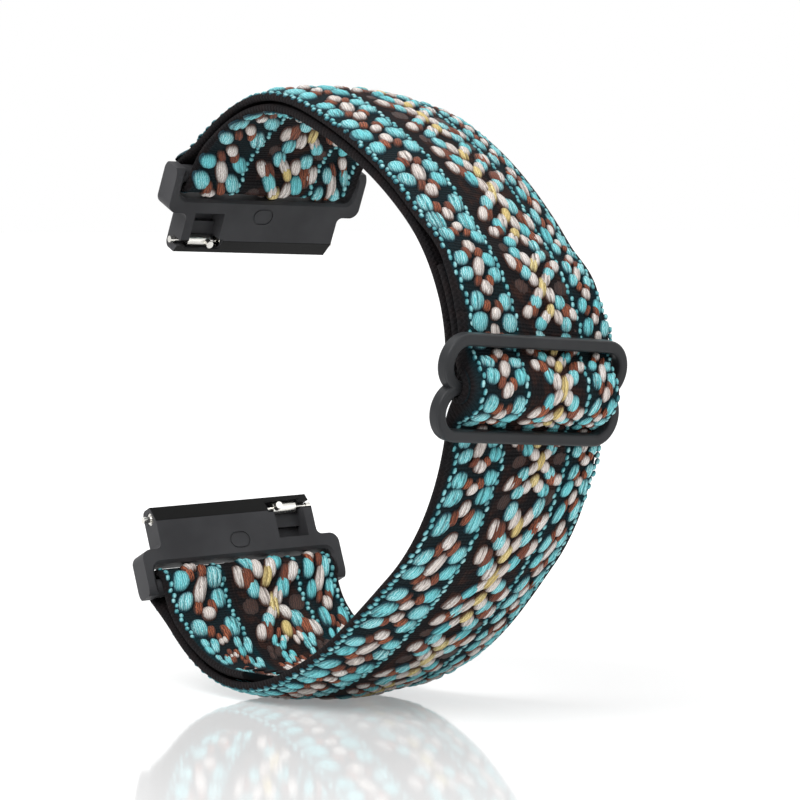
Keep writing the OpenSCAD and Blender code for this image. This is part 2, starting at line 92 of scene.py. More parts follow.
def linear(red: float, green: float, blue: float) -> Colour:
    """Turns screen colour values into scene linear ones.

    Args:
        red: Red, 0 to 255.
        green: Green, 0 to 255.
        blue: Blue, 0 to 255.

    Returns:
        Linear colour with an alpha of one.
    """
    values = [c / 255 for c in (red, green, blue)]
    r, g, b = (c / 12.92 if c <= 0.04045 else ((c + 0.055) / 1.055) ** 2.4 for c in values)
    return (r, g, b, 1.0)


def ease(s: np.ndarray, low: float, high: float) -> np.ndarray:
    """Smooth step from 0 at low to 1 at high: t squared times (3 minus 2 t)."""
    t = np.clip((s - low) / (high - low), 0, 1)
    return t * t * (3 - 2 * t)


def way(angle: np.ndarray) -> np.ndarray:
    """Unit vectors at angles in degrees, as an array of (x, y)."""
    a = np.radians(angle)
    return np.stack([np.cos(a), np.sin(a)], axis=-1)


def cubic(t: np.ndarray, p: np.ndarray, m: np.ndarray, q: np.ndarray, n: np.ndarray) -> np.ndarray:
    """Points of the cubic from p with slope m to q with slope n, at shares t of its way."""
    first = (2 * t**3 - 3 * t**2 + 1) * p + (t**3 - 2 * t**2 + t) * m
    return first + (3 * t**2 - 2 * t**3) * q + (t**3 - t**2) * n


def cubic_slope(t: np.ndarray, p: np.ndarray, m: np.ndarray, q: np.ndarray, n: np.ndarray) -> np.ndarray:
    """Slopes of the same cubic, at shares t of its way."""
    first = (6 * t**2 - 6 * t) * p + (3 * t**2 - 4 * t + 1) * m
    return first + (6 * t - 6 * t**2) * q + (3 * t**2 - 2 * t) * n


def between(run: np.ndarray, runs: np.ndarray, values: np.ndarray) -> np.ndarray:
    """Values at a run, straight between those at the stations' runs; a table is read column by column."""
    if values.ndim == 1:
        return np.interp(run, runs, values)
    return np.stack([np.interp(run, runs, column) for column in values.T], -1)


@dataclass
class Ring:
    """The ring's outline: three arcs on each side of the slider, in millimetres and degrees."""

    apex_radius: float = 23.65
    apex_angle: float = 50.0
    flank_radius: float = 68.7
    flank_angle: float = 20.6
    end_radius: float = 23.6
    upper_end_angle: float = 64.7
    lower_end_angle: float = 71.0
    ring_middle: float = 9.2
    flare_mean: float = 0.125
    flare_swing: float = 0.078
    flare_skew: float = 0.034
    upper_lean: float = -1.5
    lower_lean: float = 5.6
    lower_lean_way: float = -114.0
    near_end: float = 20.0
    slider_place: float = 1.6

    def __post_init__(self) -> None:
        """Works out where each arc starts and the point it turns about."""
        r1, r2, r3 = self.apex_radius, self.flank_radius, self.end_radius
        a1, a2 = self.apex_angle, self.apex_angle + self.flank_angle
        self.radii = np.array([r1, r2, r3])
        self.turns = np.array([0.0, a1, a2])
        run1 = math.radians(a1) * r1
        run2 = run1 + math.radians(self.flank_angle) * r2
        self.starts = np.array([0.0, run1, run2])
        hub1 = (r1 - r2) * way(a1)
        self.hubs = np.stack([np.zeros(2), hub1, hub1 + (r2 - r3) * way(a2)])
        self.upper_end = run2 + math.radians(self.upper_end_angle) * r3
        self.lower_end = -run2 - math.radians(self.lower_end_angle) * r3
        self.slider_turn = self.turn_at(self.slider_place)
        self.tilt = math.atan(self.flare(np.array(90.0)))

    def arc(self, s: np.ndarray) -> np.ndarray:
        """Which of the three arcs each run lies on."""
        return np.clip(np.searchsorted(self.starts, np.abs(s), side="right") - 1, 0, 2)

    def turn(self, s: np.ndarray) -> np.ndarray:
        """Direction of the outward normal in degrees at each run: the arc's start plus run over radius."""
        k = self.arc(s)
        own = self.turns[k] + np.degrees((np.abs(s) - self.starts[k]) / self.radii[k])
        return np.where(s < 0, -1, 1) * own

    def turn_at(self, s: float) -> float:
        """Direction of the outward normal in degrees at one run."""
        return float(self.turn(np.array(s)))

    def spot(self, s: np.ndarray, height: np.ndarray) -> np.ndarray:
        """Points at each run, height above the outline: the arc's hub plus radius and height outward."""
        s = np.asarray(s, float)
        k = self.arc(s)
        hub = self.hubs[k] * np.stack([np.ones_like(s), np.where(s < 0, -1, 1)], axis=-1)
        return hub + (self.radii[k] + height)[..., None] * way(self.turn(s))

    def spot_at(self, s: float, height: float) -> np.ndarray:
        """The point at one run and height."""
        return self.spot(np.array(s), np.array(height))

    def flare(self, polar: np.ndarray) -> np.ndarray:
        """Slope across the webbing at a polar angle: mean, plus swing and skew by cos and sin of twice it."""
        a = np.radians(2 * polar)
        return self.flare_mean + self.flare_swing * np.cos(a) + self.flare_skew * np.sin(a)

    def own_lean(self, p: np.ndarray) -> np.ndarray:
        """Lean in degrees at points of the outline: the arc tangent of the flare at their polar angle."""
        polar = np.degrees(np.arctan2(p[..., 1], p[..., 0] + self.ring_middle))
        return np.degrees(np.arctan(self.flare(polar)))

    def near_lower_end(self, s: np.ndarray) -> np.ndarray:
        """Nearness of each run to the lower end, from 0 to 1."""
        return ease(-s, -self.lower_end - self.near_end, -self.lower_end)

    def lean(self, s: np.ndarray) -> np.ndarray:
        """Lean in degrees at each run, the flare's own, eased to that of each connector at the ends."""
        free = self.own_lean(self.spot(s, np.zeros_like(np.asarray(s, float))))
        ends = [float(self.own_lean(self.spot_at(end, 0.0))) for end in (self.upper_end, self.lower_end)]
        near_upper_end = ease(s, self.upper_end - self.near_end, self.upper_end)
        upper = (self.upper_lean - ends[0]) * near_upper_end
        return free + upper + (self.lower_lean - ends[1]) * self.near_lower_end(s)

    def lean_way(self, s: np.ndarray) -> np.ndarray:
        """Direction in degrees in which the webbing leans at each run."""
        return self.turn(s) + (self.lower_lean_way - self.turn_at(self.lower_end)) * self.near_lower_end(s)

    def stand(self, p: np.ndarray) -> np.ndarray:
        """Stands ring points up and tilts them: a turn about X by 90 degrees less the tilt, in metres."""
        x, y, z = p[..., 0] + self.ring_middle, p[..., 1], p[..., 2]
        a = math.pi / 2 - self.tilt
        return np.stack([x, y * math.cos(a) - z * math.sin(a), y * math.sin(a) + z * math.cos(a)], -1) * MM


@dataclass
class Strand:
    """A stretch of the webbing's middle line.

    Its arrays hold points, outward ways, crown, lean, share of the width, shift and curl.
    """

    point: np.ndarray
    outward: np.ndarray
    crown: np.ndarray
    lean: np.ndarray
    share: np.ndarray
    shift: np.ndarray
    curl: np.ndarray

    def flipped(self) -> "Strand":
        """The same stretch walked the other way."""
        return Strand(*(getattr(self, name)[::-1] for name in self.names()))

    @staticmethod
    def joined(parts: "list[Strand]") -> "Strand":
        """Several stretches, end to end."""
        return Strand(*(np.concatenate([getattr(p, name) for p in parts]) for name in Strand.names()))

    @staticmethod
    def names() -> tuple[str, ...]:
        """Names of the arrays, in order."""
        return ("point", "outward", "crown", "lean", "share", "shift", "curl")


@dataclass(frozen=True)
class End:
    """An end of a free stretch: its point, its heading in degrees and its share of the width."""

    point: np.ndarray
    heading: float
    share: float


@dataclass
class WovenPath:
    """The whole woven strip as one path, from its lower sewn end to its end in the slider, in millimetres.

    lap is the step from one layer to the next. grips are how far inside the slider's bars the strip leaves
    the outline. loop_from, loop_to and crossing_to are angles round the middle bar, and fold_open is the one
    round a crossbar at which the fold's arc starts. squeeze is the share of the width inside the slider.
    step lies between stations, and a cubic has them as if it were cubic_length times its chord. look is the
    run to each side over which the heading is read.
    """

    ring: Ring
    width: float = 24.0
    thick: float = 1.15
    crown: float = 1.6
    gap: float = 0.1
    step: float = 0.12
    cubic_length: float = 1.2
    least_gap: float = 1e-6
    crossbar: float = 1.1
    core: float = 0.7
    wrap_room: float = 0.12
    slider_room: float = 0.3
    slider_thick: float = 1.6
    pitch: float = 5.3
    bar: float = 1.4
    grips: tuple[float, float] = (1.0, 0.9)
    squeeze: float = 0.95
    near_shift: float = 0.55
    loop_shift: float = 2.7
    curl_width: float = 0.7
    curl_out: float = 0.9
    curl_in: float = 2.4
    even: float = 1.6
    fine: float = 0.1
    look: float = 0.25
    tail: float = 5.2
    lower_tail: float = 22.0
    lower_rise: float = 20.0
    fold_run: float = 6.0
    fold_pull: float = 0.9
    fold_points: tuple[int, int] = (50, 60)
    fade: float = 10.0
    fold_open: float = 110.0
    loop_from: float = 200.0
    loop_to: float = 395.0
    crossing_to: float = -70.0
    crossing_pull: float = 1.1

    def __post_init__(self) -> None:
        """Works out the layer heights, the slider's middle and the stretches of the path."""
        ring = self.ring
        self.low = self.thick / 2
        self.lap = self.thick + self.gap
        self.high = self.low + self.lap
        self.top = self.high + self.lap
        self.reach = self.pitch + self.bar
        place = ring.slider_place
        self.upper_reach, self.lower_reach = place + self.reach, place - self.reach
        self.upper_grip = place + self.pitch - self.grips[0]
        self.lower_grip = place - self.pitch + self.grips[1]
        over = self.thick / 2 + self.slider_room + self.slider_thick / 2
        upper_bar, lower_bar = self.top + over, self.low + over
        sag = self.pitch**2 / 2 / (ring.apex_radius + lower_bar)
        self.plate = (upper_bar + lower_bar) / 2 - sag
        self.middle = (ring.apex_radius + self.plate) * way(ring.slider_turn)
        self.loop_radius = self.core + self.wrap_room + self.thick / 2
        self.fold_radius = self.crossbar + self.wrap_room + self.thick / 2
        self.slider_lean = float(ring.lean(np.array(place)))
        self._assemble()

    def crown_at(self, s: np.ndarray) -> np.ndarray:
        """Crown at each run, faded out next to the slider and next to the connectors."""
        r = self.ring
        out = ease(np.abs(s - r.slider_place), self.reach, self.reach + 2 * self.fade)
        up = ease(s, r.upper_end - self.fade - self.fold_run, r.upper_end - self.fold_run)
        low = ease(-s, -r.lower_end - self.fade - self.fold_run, -r.lower_end - self.fold_run)
        return self.crown * out * (1 - up) * (1 - low)

    def lower_layer(self, s: np.ndarray) -> np.ndarray:
        """Height of the single lower layer, one layer further out past the slider's stretch."""
        start = self.ring.starts[1]
        return self.low + self.lap * ease(-s, start, start + self.lower_rise)

    def lower_tail_layer(self, s: np.ndarray) -> np.ndarray:
        """Height of the lower sewn tail, one layer under the lower layer."""
        return self.lower_layer(s) - self.lap

    def outer_layer(self, s: np.ndarray) -> np.ndarray:
        """Height of the outer layer, which comes down past the sewn end."""
        return self.top - self.lap * ease(s, self.upper_reach + self.tail, self.ring.starts[1])

    def along(self, a: float, b: float, height: float | Callable[[np.ndarray], np.ndarray]) -> Strand:
        """A stretch that follows the outline from run a to run b at the given height."""
        s = np.linspace(a, b, max(3, int(abs(b - a) / self.step)))
        return self.at(s, height(s) if callable(height) else np.full_like(s, height))

    def at(self, s: np.ndarray, height: np.ndarray) -> Strand:
        """Stations at runs s and heights above the outline."""
        r = self.ring
        none = np.zeros_like(s)
        points, outward = r.spot(s, height), way(r.lean_way(s))
        return Strand(points, outward, self.crown_at(s), r.lean(s), none + 1, none, none)

    def loose(self, p: np.ndarray, share: np.ndarray) -> Strand:
        """Stations at free points, which lean as the slider does."""
        n = len(p)
        out = np.tile(way(self.ring.slider_turn), (n, 1))
        shift = self.near_shift * (1 - share) / (1 - self.squeeze)
        return Strand(p, out, np.zeros(n), np.full(n, self.slider_lean), share, shift, np.zeros(n))

    def round_core(self, radius: float, a: float, b: float) -> Strand:
        """Stations on a circle round the slider's middle bar, from angle a to angle b."""
        n = max(6, int(math.radians(abs(b - a)) * radius / self.step))
        p = self.middle + radius * way(np.linspace(a, b, n) + self.ring.slider_turn)
        return self.loose(p, np.full(n, self.squeeze))

    def on_ring(self, s: float, height: float, sense: int) -> End:
        """An end on the outline, which heads up the run with a sense of 1 and down it with -1."""
        return End(self.ring.spot_at(s, height), self.ring.turn_at(s) + 90 * sense, 1.0)

    def on_core(self, radius: float, angle: float, sense: int) -> End:
        """An end on a circle round the middle bar, which heads on with a sense of 1 and back with -1."""
        turn = angle + self.ring.slider_turn
        return End(self.middle + radius * way(turn), turn + 90 * sense, self.squeeze)

    def bridge(self, start: End, finish: End, pull: float = 1.0, aside: float = 0.0) -> Strand:
        """A cubic from one end to another, whose share of the width eases from the one's to the other's.

        Args:
            start: Where it starts.
            finish: Where it ends.
            pull: Length of its slopes at both ends, as a share of the distance between them.
            aside: How far the stretch is set to the right of the cubic.

        Returns:
            The stretch.
        """
        distance = np.linalg.norm(finish.point - start.point)
        m, n = pull * distance * way(start.heading), pull * distance * way(finish.heading)
        t = np.linspace(0, 1, max(8, int(self.cubic_length * distance / self.step)))[:, None]
        slope = cubic_slope(t, start.point, m, finish.point, n)
        right = np.stack([slope[:, 1], -slope[:, 0]], -1) / np.linalg.norm(slope, axis=1)[:, None]
        share = start.share + (finish.share - start.share) * ease(t[:, 0], 0, 1)
        return self.loose(cubic(t, start.point, m, finish.point, n) + aside * right, share)

    def fold(self, end: float, middle: float) -> Strand:
        """The strip folded round a crossbar: a cubic out, an arc round the bar, and a cubic back.

        Args:
            end: Run of the crossbar.
            middle: Height of the crossbar.

        Returns:
            The stretch.
        """
        side = math.copysign(1, end)
        opening = self.fold_open
        run = self.fold_run * self.fold_pull
        steep = run * np.array([math.sin(math.radians(opening)), -math.cos(math.radians(opening))])
        t = np.linspace(0, 1, self.fold_points[0])[:, None]
        flat = np.array([-self.fold_run, self.lap / 2])
        out = cubic(t, flat, np.array([run, 0]), self.fold_radius * way(opening), steep)
        arc = self.fold_radius * way(np.linspace(opening, -opening, self.fold_points[1]))
        back = out[::-1] * np.array([1, -1])
        path = np.concatenate([out[:-1], arc, back[1:]])
        return self.at(end + side * path[:, 0], middle + path[:, 1])

    def _lower(self) -> Strand:
        """From the lower sewn end round the lower crossbar and back to the slider's arc."""
        r = self.ring
        middle = float(self.lower_layer(np.array(r.lower_end))) - self.lap / 2
        return Strand.joined([
            self.along(-r.starts[1], r.lower_end + self.fold_run, self.lower_layer),
            self.fold(r.lower_end, middle),
            self.along(r.lower_end + self.fold_run, r.lower_end + self.lower_tail, self.lower_tail_layer),
        ]).flipped()

    def _crossing(self) -> Strand:
        """Inside the slider, under its lower bar, over the middle one and under its upper bar.

        Returns:
            The stretch.
        """
        outside = self.loop_radius + self.lap
        down = self.on_core(outside, self.crossing_to, -1)
        crossing = Strand.joined([
            self.along(self.upper_reach, self.upper_grip, self.top),
            self.bridge(self.on_ring(self.upper_grip, self.high, -1),
                        self.on_core(self.loop_radius, self.loop_to, -1), aside=-self.lap),
            self.round_core(outside, self.loop_to - 360, self.crossing_to),
            self.bridge(down, self.on_ring(self.lower_grip, self.low, -1), self.crossing_pull),
            self.along(self.lower_grip, self.lower_reach, self.low),
        ]).flipped()
        crossing.curl = (1 - crossing.share) / (1 - self.squeeze)
        return crossing

    def _upper(self) -> Strand:
        """From the slider's arc round the upper crossbar and back."""
        r = self.ring
        return Strand.joined([
            self.along(r.starts[1], r.upper_end - self.fold_run, self.outer_layer),
            self.fold(r.upper_end, self.low + self.lap / 2),
            self.along(r.upper_end - self.fold_run, r.starts[1], self.low),
        ])

    def _loop(self) -> Strand:
        """Round the slider's middle bar and back between the layers, where the strip ends.

        Returns:
            The stretch.
        """
        turned_back = self.on_core(self.loop_radius, self.loop_to, 1)
        loop = Strand.joined([
            self.bridge(self.on_ring(self.upper_reach, self.low, -1),
                        self.on_core(self.loop_radius, self.loop_from, 1)),
            self.round_core(self.loop_radius, self.loop_from, self.loop_to),
            self.bridge(turned_back, self.on_ring(self.upper_grip, self.high, 1)),
            self.along(self.upper_grip, self.upper_reach + self.tail, self.high),
        ])
        loop.shift = loop.shift * self.loop_shift
        return loop

    def _assemble(self) -> None:
        """Joins the stretches in the order in which the strip runs, and keeps each node's start and end."""
        start = self.ring.starts[1]
        named = {
            "lower_strap": self._lower(),
            "lower_stretch": self.along(-start, self.lower_reach, self.low),
            "slider_crossing": self._crossing(),
            "upper_stretch_outer": self.along(self.upper_reach, start, self.outer_layer),
            "upper_strap": self._upper(),
            "upper_stretch_inner": self.along(start, self.upper_reach, self.low),
            "slider_loop": self._loop(),
        }
        whole = Strand.joined(list(named.values()))
        counts = np.cumsum([0] + [len(s.point) for s in named.values()])
        gap = np.linalg.norm(np.diff(whole.point, axis=0), axis=1)
        self.run = np.concatenate([[0], np.cumsum(np.maximum(gap, self.least_gap))])
        for name in ("outward", "lean", "share", "shift", "curl"):
            setattr(whole, name, self._evened(getattr(whole, name)))
        self.whole = whole
        starts, ends = self.run[counts[:-1]], self.run[counts[1:] - 1]
        self.spans = dict(zip(named, zip(starts, ends)))
        ahead = between(self.run + self.look, self.run, whole.point)
        heading = ahead - between(self.run - self.look, self.run, whole.point)
        heading /= np.linalg.norm(heading, axis=1)[:, None]
        self.normal = np.stack([heading[:, 1], -heading[:, 0]], -1)
        crossing = list(named).index("slider_crossing")
        self.bar_runs = self._bar_runs(counts[crossing], counts[crossing + 1])

    def _evened(self, values: np.ndarray) -> np.ndarray:
        """Values at the stations, averaged over some run to each side, so that no joint shows a step.

        Args:
            values: A value, or a row of values, for each station.

        Returns:
            The averaged values, in the same form.
        """
        runs = np.arange(0, self.run[-1], self.fine)
        kernel = np.ones(int(self.even / self.fine) * 2 + 1)
        kernel /= kernel.sum()
        pad = len(kernel) // 2
        smooth = []
        for column in values.reshape(len(values), -1).T:
            padded = np.pad(np.interp(runs, self.run, column), pad, mode="edge")
            smooth.append(np.interp(self.run, runs, np.convolve(padded, kernel, "valid")))
        return np.stack(smooth, -1).reshape(values.shape)

    def _bar_runs(self, first: int, after: int) -> list[float]:
        """Runs of the path under the slider's upper and lower bars, where the yarns are pressed flat.

        Args:
            first: Number of the first station of the crossing.
            after: Number after that of its last station.

        Returns:
            The two runs.
        """
        runs = []
        for side, height in ((1, self.top), (-1, self.low)):
            p = self.ring.spot_at(self.ring.slider_place + side * self.pitch, height)
            nearest = np.argmin(np.linalg.norm(self.whole.point[first:after] - p, axis=1))
            runs.append(float(self.run[first + nearest]))
        return runs

    def place(self, run: np.ndarray, across: np.ndarray, height: np.ndarray,
              hold: np.ndarray | None = None) -> np.ndarray:
        """Points on the strip, in metres.

        The middle line at a run, moved by height along its normal, then across the width: sideways by the
        cosine of the lean, and outward by its sine plus the crown times one less the square of the distance
        off centre. Where the strip curls, the near edge is set outward and down by the curl.

        Args:
            run: Distance along the strip in millimetres.
            across: Distance from the near edge in millimetres.
            height: Distance from the middle of the thickness, positive on the patterned face.
            hold: Distance from the near edge at which the curl is read, where it isn't the point's own.

        Returns:
            Array of points, one row each.
        """
        w = self.whole
        curl, share, shift, crown, lean = (
            between(run, self.run, values) for values in (w.curl, w.share, w.shift, w.crown, w.lean))
        curl = curl * np.clip(1 - (across if hold is None else hold) / self.curl_width, 0, 1)
        z = (self.width / 2 - across) * share + shift + self.curl_out * curl
        height = height - self.curl_in * curl
        lean = np.radians(lean)
        out = z * np.sin(lean) + crown * (1 - (2 * z / self.width) ** 2)
        tables = (w.point, self.normal, w.outward)
        point, normal, outward = (between(run, self.run, table) for table in tables)
        flat = point + height[..., None] * normal + out[..., None] * outward
        return self.ring.stand(np.concatenate([flat, (z * np.cos(lean))[..., None]], -1))


class Yarn(Enum):
    """The yarn colours of the woven pattern, by material place."""

    TEAL = 0
    WHITE = 1
    RUST = 2
    OCHRE = 3
    UMBER = 4
    BEAD = 5


class Face(Enum):
    """The two faces of the strip, by the way in which yarns rise from them."""

    PATTERNED = 1
    BACK = -1


@dataclass(frozen=True)
class Float:
    """A bundle of yarn that lies on the ground weave.

    along and across are its middle, half_along and half_across its half sizes, rise its height and slant its
    sideways run per millimetre along the strip, all in millimetres.
    """

    yarn: Yarn
    along: float
    across: float
    half_along: float
    half_across: float
    rise: float
    slant: float


@dataclass(frozen=True)
class Bundle:
    """A kind of bundle: its yarn, half sizes, rise and slant; a half size of 1 is given where it lies."""

    yarn: Yarn
    half_along: float
    half_across: float
    rise: float
    slant: float = 0.0

    def at(self, along: float, across: float, turn: int = 1, length: float = 1.0,
           width: float = 1.0) -> Float:
        """A bundle of this kind at a place.

        Args:
            along: Its middle along the strip.
            across: Its middle across the strip.
            turn: 1 where it slants as its kind does, -1 where it slants the other way.
            length: What its half size along is multiplied by.
            width: What its half size across is multiplied by.

        Returns:
            The bundle.
        """
        return Float(self.yarn, along, across, self.half_along * length, self.half_across * width, self.rise,
                     self.slant * turn)


@dataclass(frozen=True)
class Stripe:
    """A stripe of paired blocks between two rows of beads: middles and half widths across the strip."""

    left: float
    right: float
    middle: float
    left_half: float
    right_half: float
    knot_half: float


@dataclass(frozen=True)
class Block:
    """A pair of blocks in a period of a stripe: its place, half length and growth in width."""

    along: float
    half_along: float
    grow: float


@dataclass(frozen=True)
class Knot:
    """A pale knot between blocks: its place, half length, share of width and place of its brown sides."""

    along: float
    half_along: float
    share: float
    brown: float


@dataclass(frozen=True)
class Rung:
    """A step of the centre stripe: places of its pale and its teal bundles from the waist, and their turn."""

    pale: float
    teal: float
    turn: int


@dataclass
class Jacquard:
    """The woven pattern: two stripes of paired blocks beside a wider one of chevrons and hourglasses.

    The pattern is laid out in steps of one period, and the strip is stretched more in some places than in
    others: block_rows are the runs at which the largest blocks lie, and aside is how far the pattern lies off
    its mean place across the strip at some runs. skew_ranges are where it takes its skew, turns it over and
    loses it.
    """

    period: float = 13.0
    block_rows: tuple[float, ...] = (
        -8.0, 11.0, 30.5, 42.0, 53.5, 65.0, 80.4, 96.8, 107.5, 119.1, 131.3, 148.5, 164.0, 186.4, 206.0,
        222.0, 236.0, 249.0, 262.0, 275.0, 288.0)
    aside: tuple[tuple[float, float], ...] = (
        (0, -0.3), (60, -0.5), (88, -0.7), (96, 0.0), (100.5, 0.8), (103.5, 0.0), (116, -0.1), (119.5, 0.8),
        (124, 0.0), (127, -0.6), (150, -0.8), (175, -0.3), (188, -1.2), (212, -1.2), (228, 0.0))
    skew: float = 0.1
    skew_middle: float = 5.0
    skew_ranges: tuple[tuple[float, float], ...] = ((112, 125), (172, 192), (212, 228))
    longest: float = 1.45
    bead_rows: tuple[float, ...] = (1.1, 8.25, 18.6, 23.5)
    bead_pitch: float = 0.78
    bead_swing: float = 0.13
    edge: float = 0.2
    near: Stripe = Stripe(2.6, 7.1, 4.9, 1.24, 1.12, 0.78)
    far: Stripe = Stripe(20.1, 22.6, 21.4, 0.82, 0.72, 0.56)
    blocks: tuple[Block, ...] = (
        Block(-2.4, 1.2, 1.02), Block(0.0, 1.32, 1.18), Block(2.4, 1.2, 1.02), Block(5.45, 1.04, 1.02),
        Block(7.35, 1.04, 1.02))
    block_shift: float = 0.6
    knots: tuple[Knot, ...] = (
        Knot(1.0, 0.86, 0.9, 1.85), Knot(-1.0, 0.86, 0.9, -1.85), Knot(-4.15, 0.98, 1.0, -4.95),
        Knot(3.95, 0.95, 1.08, 4.7))
    brown_side: float = 0.98
    long_knot: float = 6.4
    centre: float = 14.2
    waist: float = 4.3
    rungs: tuple[Rung, ...] = (
        Rung(0.95, 1.75, 1), Rung(3.45, 4.2, 1), Rung(6.75, 5.95, -1), Rung(9.45, 8.75, -1),
        Rung(12.15, 11.5, -1))
    rung_sides: tuple[float, float] = (0.97, 2.0)
    hearts: tuple[tuple[float, int], ...] = ((2.75, 1), (7.65, -1), (10.25, -1))
    heart_step: float = 0.15
    heart_sides: tuple[float, float] = (2.75, 3.65)
    shade_places: tuple[float, float] = (0.1, 5.1)
    shade_sides: tuple[float, float] = (3.2, 3.4)
    back_teal: tuple[float, ...] = (2.6, 3.6, 6.8, 7.8, 19.6, 22.1)
    back_pale: tuple[float, ...] = (4.7, 5.6, 20.9)
    back_centre: tuple[float, ...] = (-3.2, -1.6, 0.0, 1.6, 3.2)
    broken_places: tuple[tuple[float, float], ...] = ((-0.42, -0.5), (0.4, -0.4), (-0.1, 0.3), (0.35, 0.65))
    broken_length: float = 0.6
    broken_width: float = 0.46
    broken_rise: float = 0.36

    def stretched(self, place: float) -> tuple[float, float]:
        """Run of a place in the pattern, and how far the strip is stretched there."""
        rows = self.block_rows
        k = min(max(int(math.floor(place / self.period)), 0), len(rows) - 2)
        gain = (rows[k + 1] - rows[k]) / self.period
        return rows[k] + (place - k * self.period) * gain, gain

    def stripe(self, s: Stripe) -> list[Float]:
        """One period of a block stripe: three pairs, then two, with brown and white knots between them.

        Args:
            s: The stripe.

        Returns:
            The bundles, measured from the stripe's largest block.
        """
        block = Bundle(Yarn.TEAL, 1.0, 1.0, 0.56, 0.05)
        knot = Bundle(Yarn.WHITE, 1.0, 1.0, 0.6)
        brown = Bundle(Yarn.RUST, 0.84, 0.72, 0.5, 0.2)
        last = Bundle(Yarn.WHITE, 1.45, 1.0, 0.6, 0.12)
        wide = s.knot_half / self.near.knot_half
        floats = []
        for b in self.blocks:
            left = s.left - (b.grow - 1) * self.block_shift
            floats.append(block.at(b.along, left, 1, b.half_along, s.left_half * b.grow))
            floats.append(block.at(b.along, s.right, -1, b.half_along, s.right_half * b.grow))
        for k in self.knots:
            half = k.share * s.knot_half / self.near.knot_half
            floats.append(knot.at(k.along, s.middle, 1, k.half_along, half))
            turn = 1 if k.brown > k.along else -1
            for side in (-1, 1):
                across = s.middle + side * self.brown_side * wide
                floats.append(brown.at(k.brown, across, -side * turn, width=wide))
        floats.append(last.at(self.long_knot, s.middle, width=wide))
        return floats

    def chevrons(self, way_on: int) -> list[Float]:
        """One period of the centre stripe, from a waist on; the next one is the same, turned upside down.

        Args:
            way_on: -1 for the period before the waist, 1 for the one after it.

        Returns:
            The bundles, measured from the waist.
        """
        pale = Bundle(Yarn.WHITE, 1.06, 0.9, 0.58, 0.22)
        teal = Bundle(Yarn.TEAL, 1.08, 1.04, 0.56, 0.16)
        heart = Bundle(Yarn.OCHRE, 1.05, 0.8, 0.62, 0.1)
        wing = Bundle(Yarn.RUST, 1.2, 1.06, 0.5, 0.2)
        tip = Bundle(Yarn.WHITE, 1.05, 0.88, 0.54, 0.2)
        waist = Bundle(Yarn.OCHRE, 1.5, 0.74, 0.62, 0.06)
        waist_shade = Bundle(Yarn.UMBER, 1.15, 1.3, 0.16)
        middle_shade = Bundle(Yarn.UMBER, 0.9, 1.1, 0.16)
        floats = [waist.at(0.0, 0.0)]
        for rung in self.rungs:
            for k in (-1, 1):
                turn = k * rung.turn * way_on
                floats.append(pale.at(way_on * rung.pale, k * self.rung_sides[0], turn))
                floats.append(teal.at(way_on * rung.teal, k * self.rung_sides[1], turn))
        for middle, turn in self.hearts:
            floats.append(heart.at(way_on * middle, 0.0))
            step = self.heart_step * turn
            for k in (-1, 1):
                floats.append(wing.at(way_on * (middle - step), k * self.heart_sides[0], k * turn * way_on))
                floats.append(tip.at(way_on * (middle + step), k * self.heart_sides[1], k * turn * way_on))
        for k in (-1, 1):
            floats.append(waist_shade.at(self.shade_places[0], k * self.shade_sides[0]))
            floats.append(middle_shade.at(way_on * self.shade_places[1], k * self.shade_sides[1]))
        return floats

    def beads(self, start: float, end: float) -> list[Float]:
        """Rows of beads along the strip, by turns a little to one side and to the other.

        Args:
            start: Run at which the rows start.
            end: Run at which they end.

        Returns:
            The beads.
        """
        bead = Bundle(Yarn.BEAD, 0.4, 0.34, 0.34)
        floats = []
        for row in self.bead_rows:
            for i in range(int(start / self.bead_pitch) - 1, int(end / self.bead_pitch) + 2):
                run = i * self.bead_pitch
                across = row + self.side_shift(run) + self.bead_swing * (-1) ** i
                if across > self.edge:
                    floats.append(bead.at(run, across))
        return floats

    def side_shift(self, run: float) -> float:
        """How far the pattern lies off its mean place across the strip at a run."""
        return float(np.interp(run, [a for a, _ in self.aside], [b for _, b in self.aside]))

    def laid(self, f: Float, place: float, across: float) -> Float:
        """A bundle set on the stretched strip: longer with the stretch, and skewed past the slider.

        Args:
            f: The bundle, measured from a place in the pattern.
            place: That place along the pattern.
            across: That place across the strip.

        Returns:
            The bundle on the strip.
        """
        run, gain = self.stretched(place + f.along)
        side = across + f.across
        take, turn_over, lose = (ease(np.array(run), *skewed) for skewed in self.skew_ranges)
        run += self.skew * float(take - 2 * turn_over + lose) * (side - self.skew_middle)
        gain = min(gain, self.longest)
        side += self.side_shift(run)
        return Float(f.yarn, run, side, f.half_along * gain, f.half_across, f.rise, f.slant / gain)

    def floats(self, start: float, end: float) -> list[Float]:
        """All bundles of the patterned face whose middles lie between two runs.

        Args:
            start: The first run.
            end: The last run.

        Returns:
            The bundles on the strip.
        """
        out = []
        for i in range(len(self.block_rows)):
            origin = i * self.period
            for s in (self.near, self.far):
                out += [self.laid(f, origin, 0.0) for f in self.stripe(s)]
            centre = self.chevrons(1)[:1]
            if i % 2 == 1:
                centre = self.chevrons(-1) + self.chevrons(1)[1:]
            out += [self.laid(f, origin + self.waist, self.centre) for f in centre]
        out += self.beads(start, end)
        return [f for f in out if start <= f.along < end]

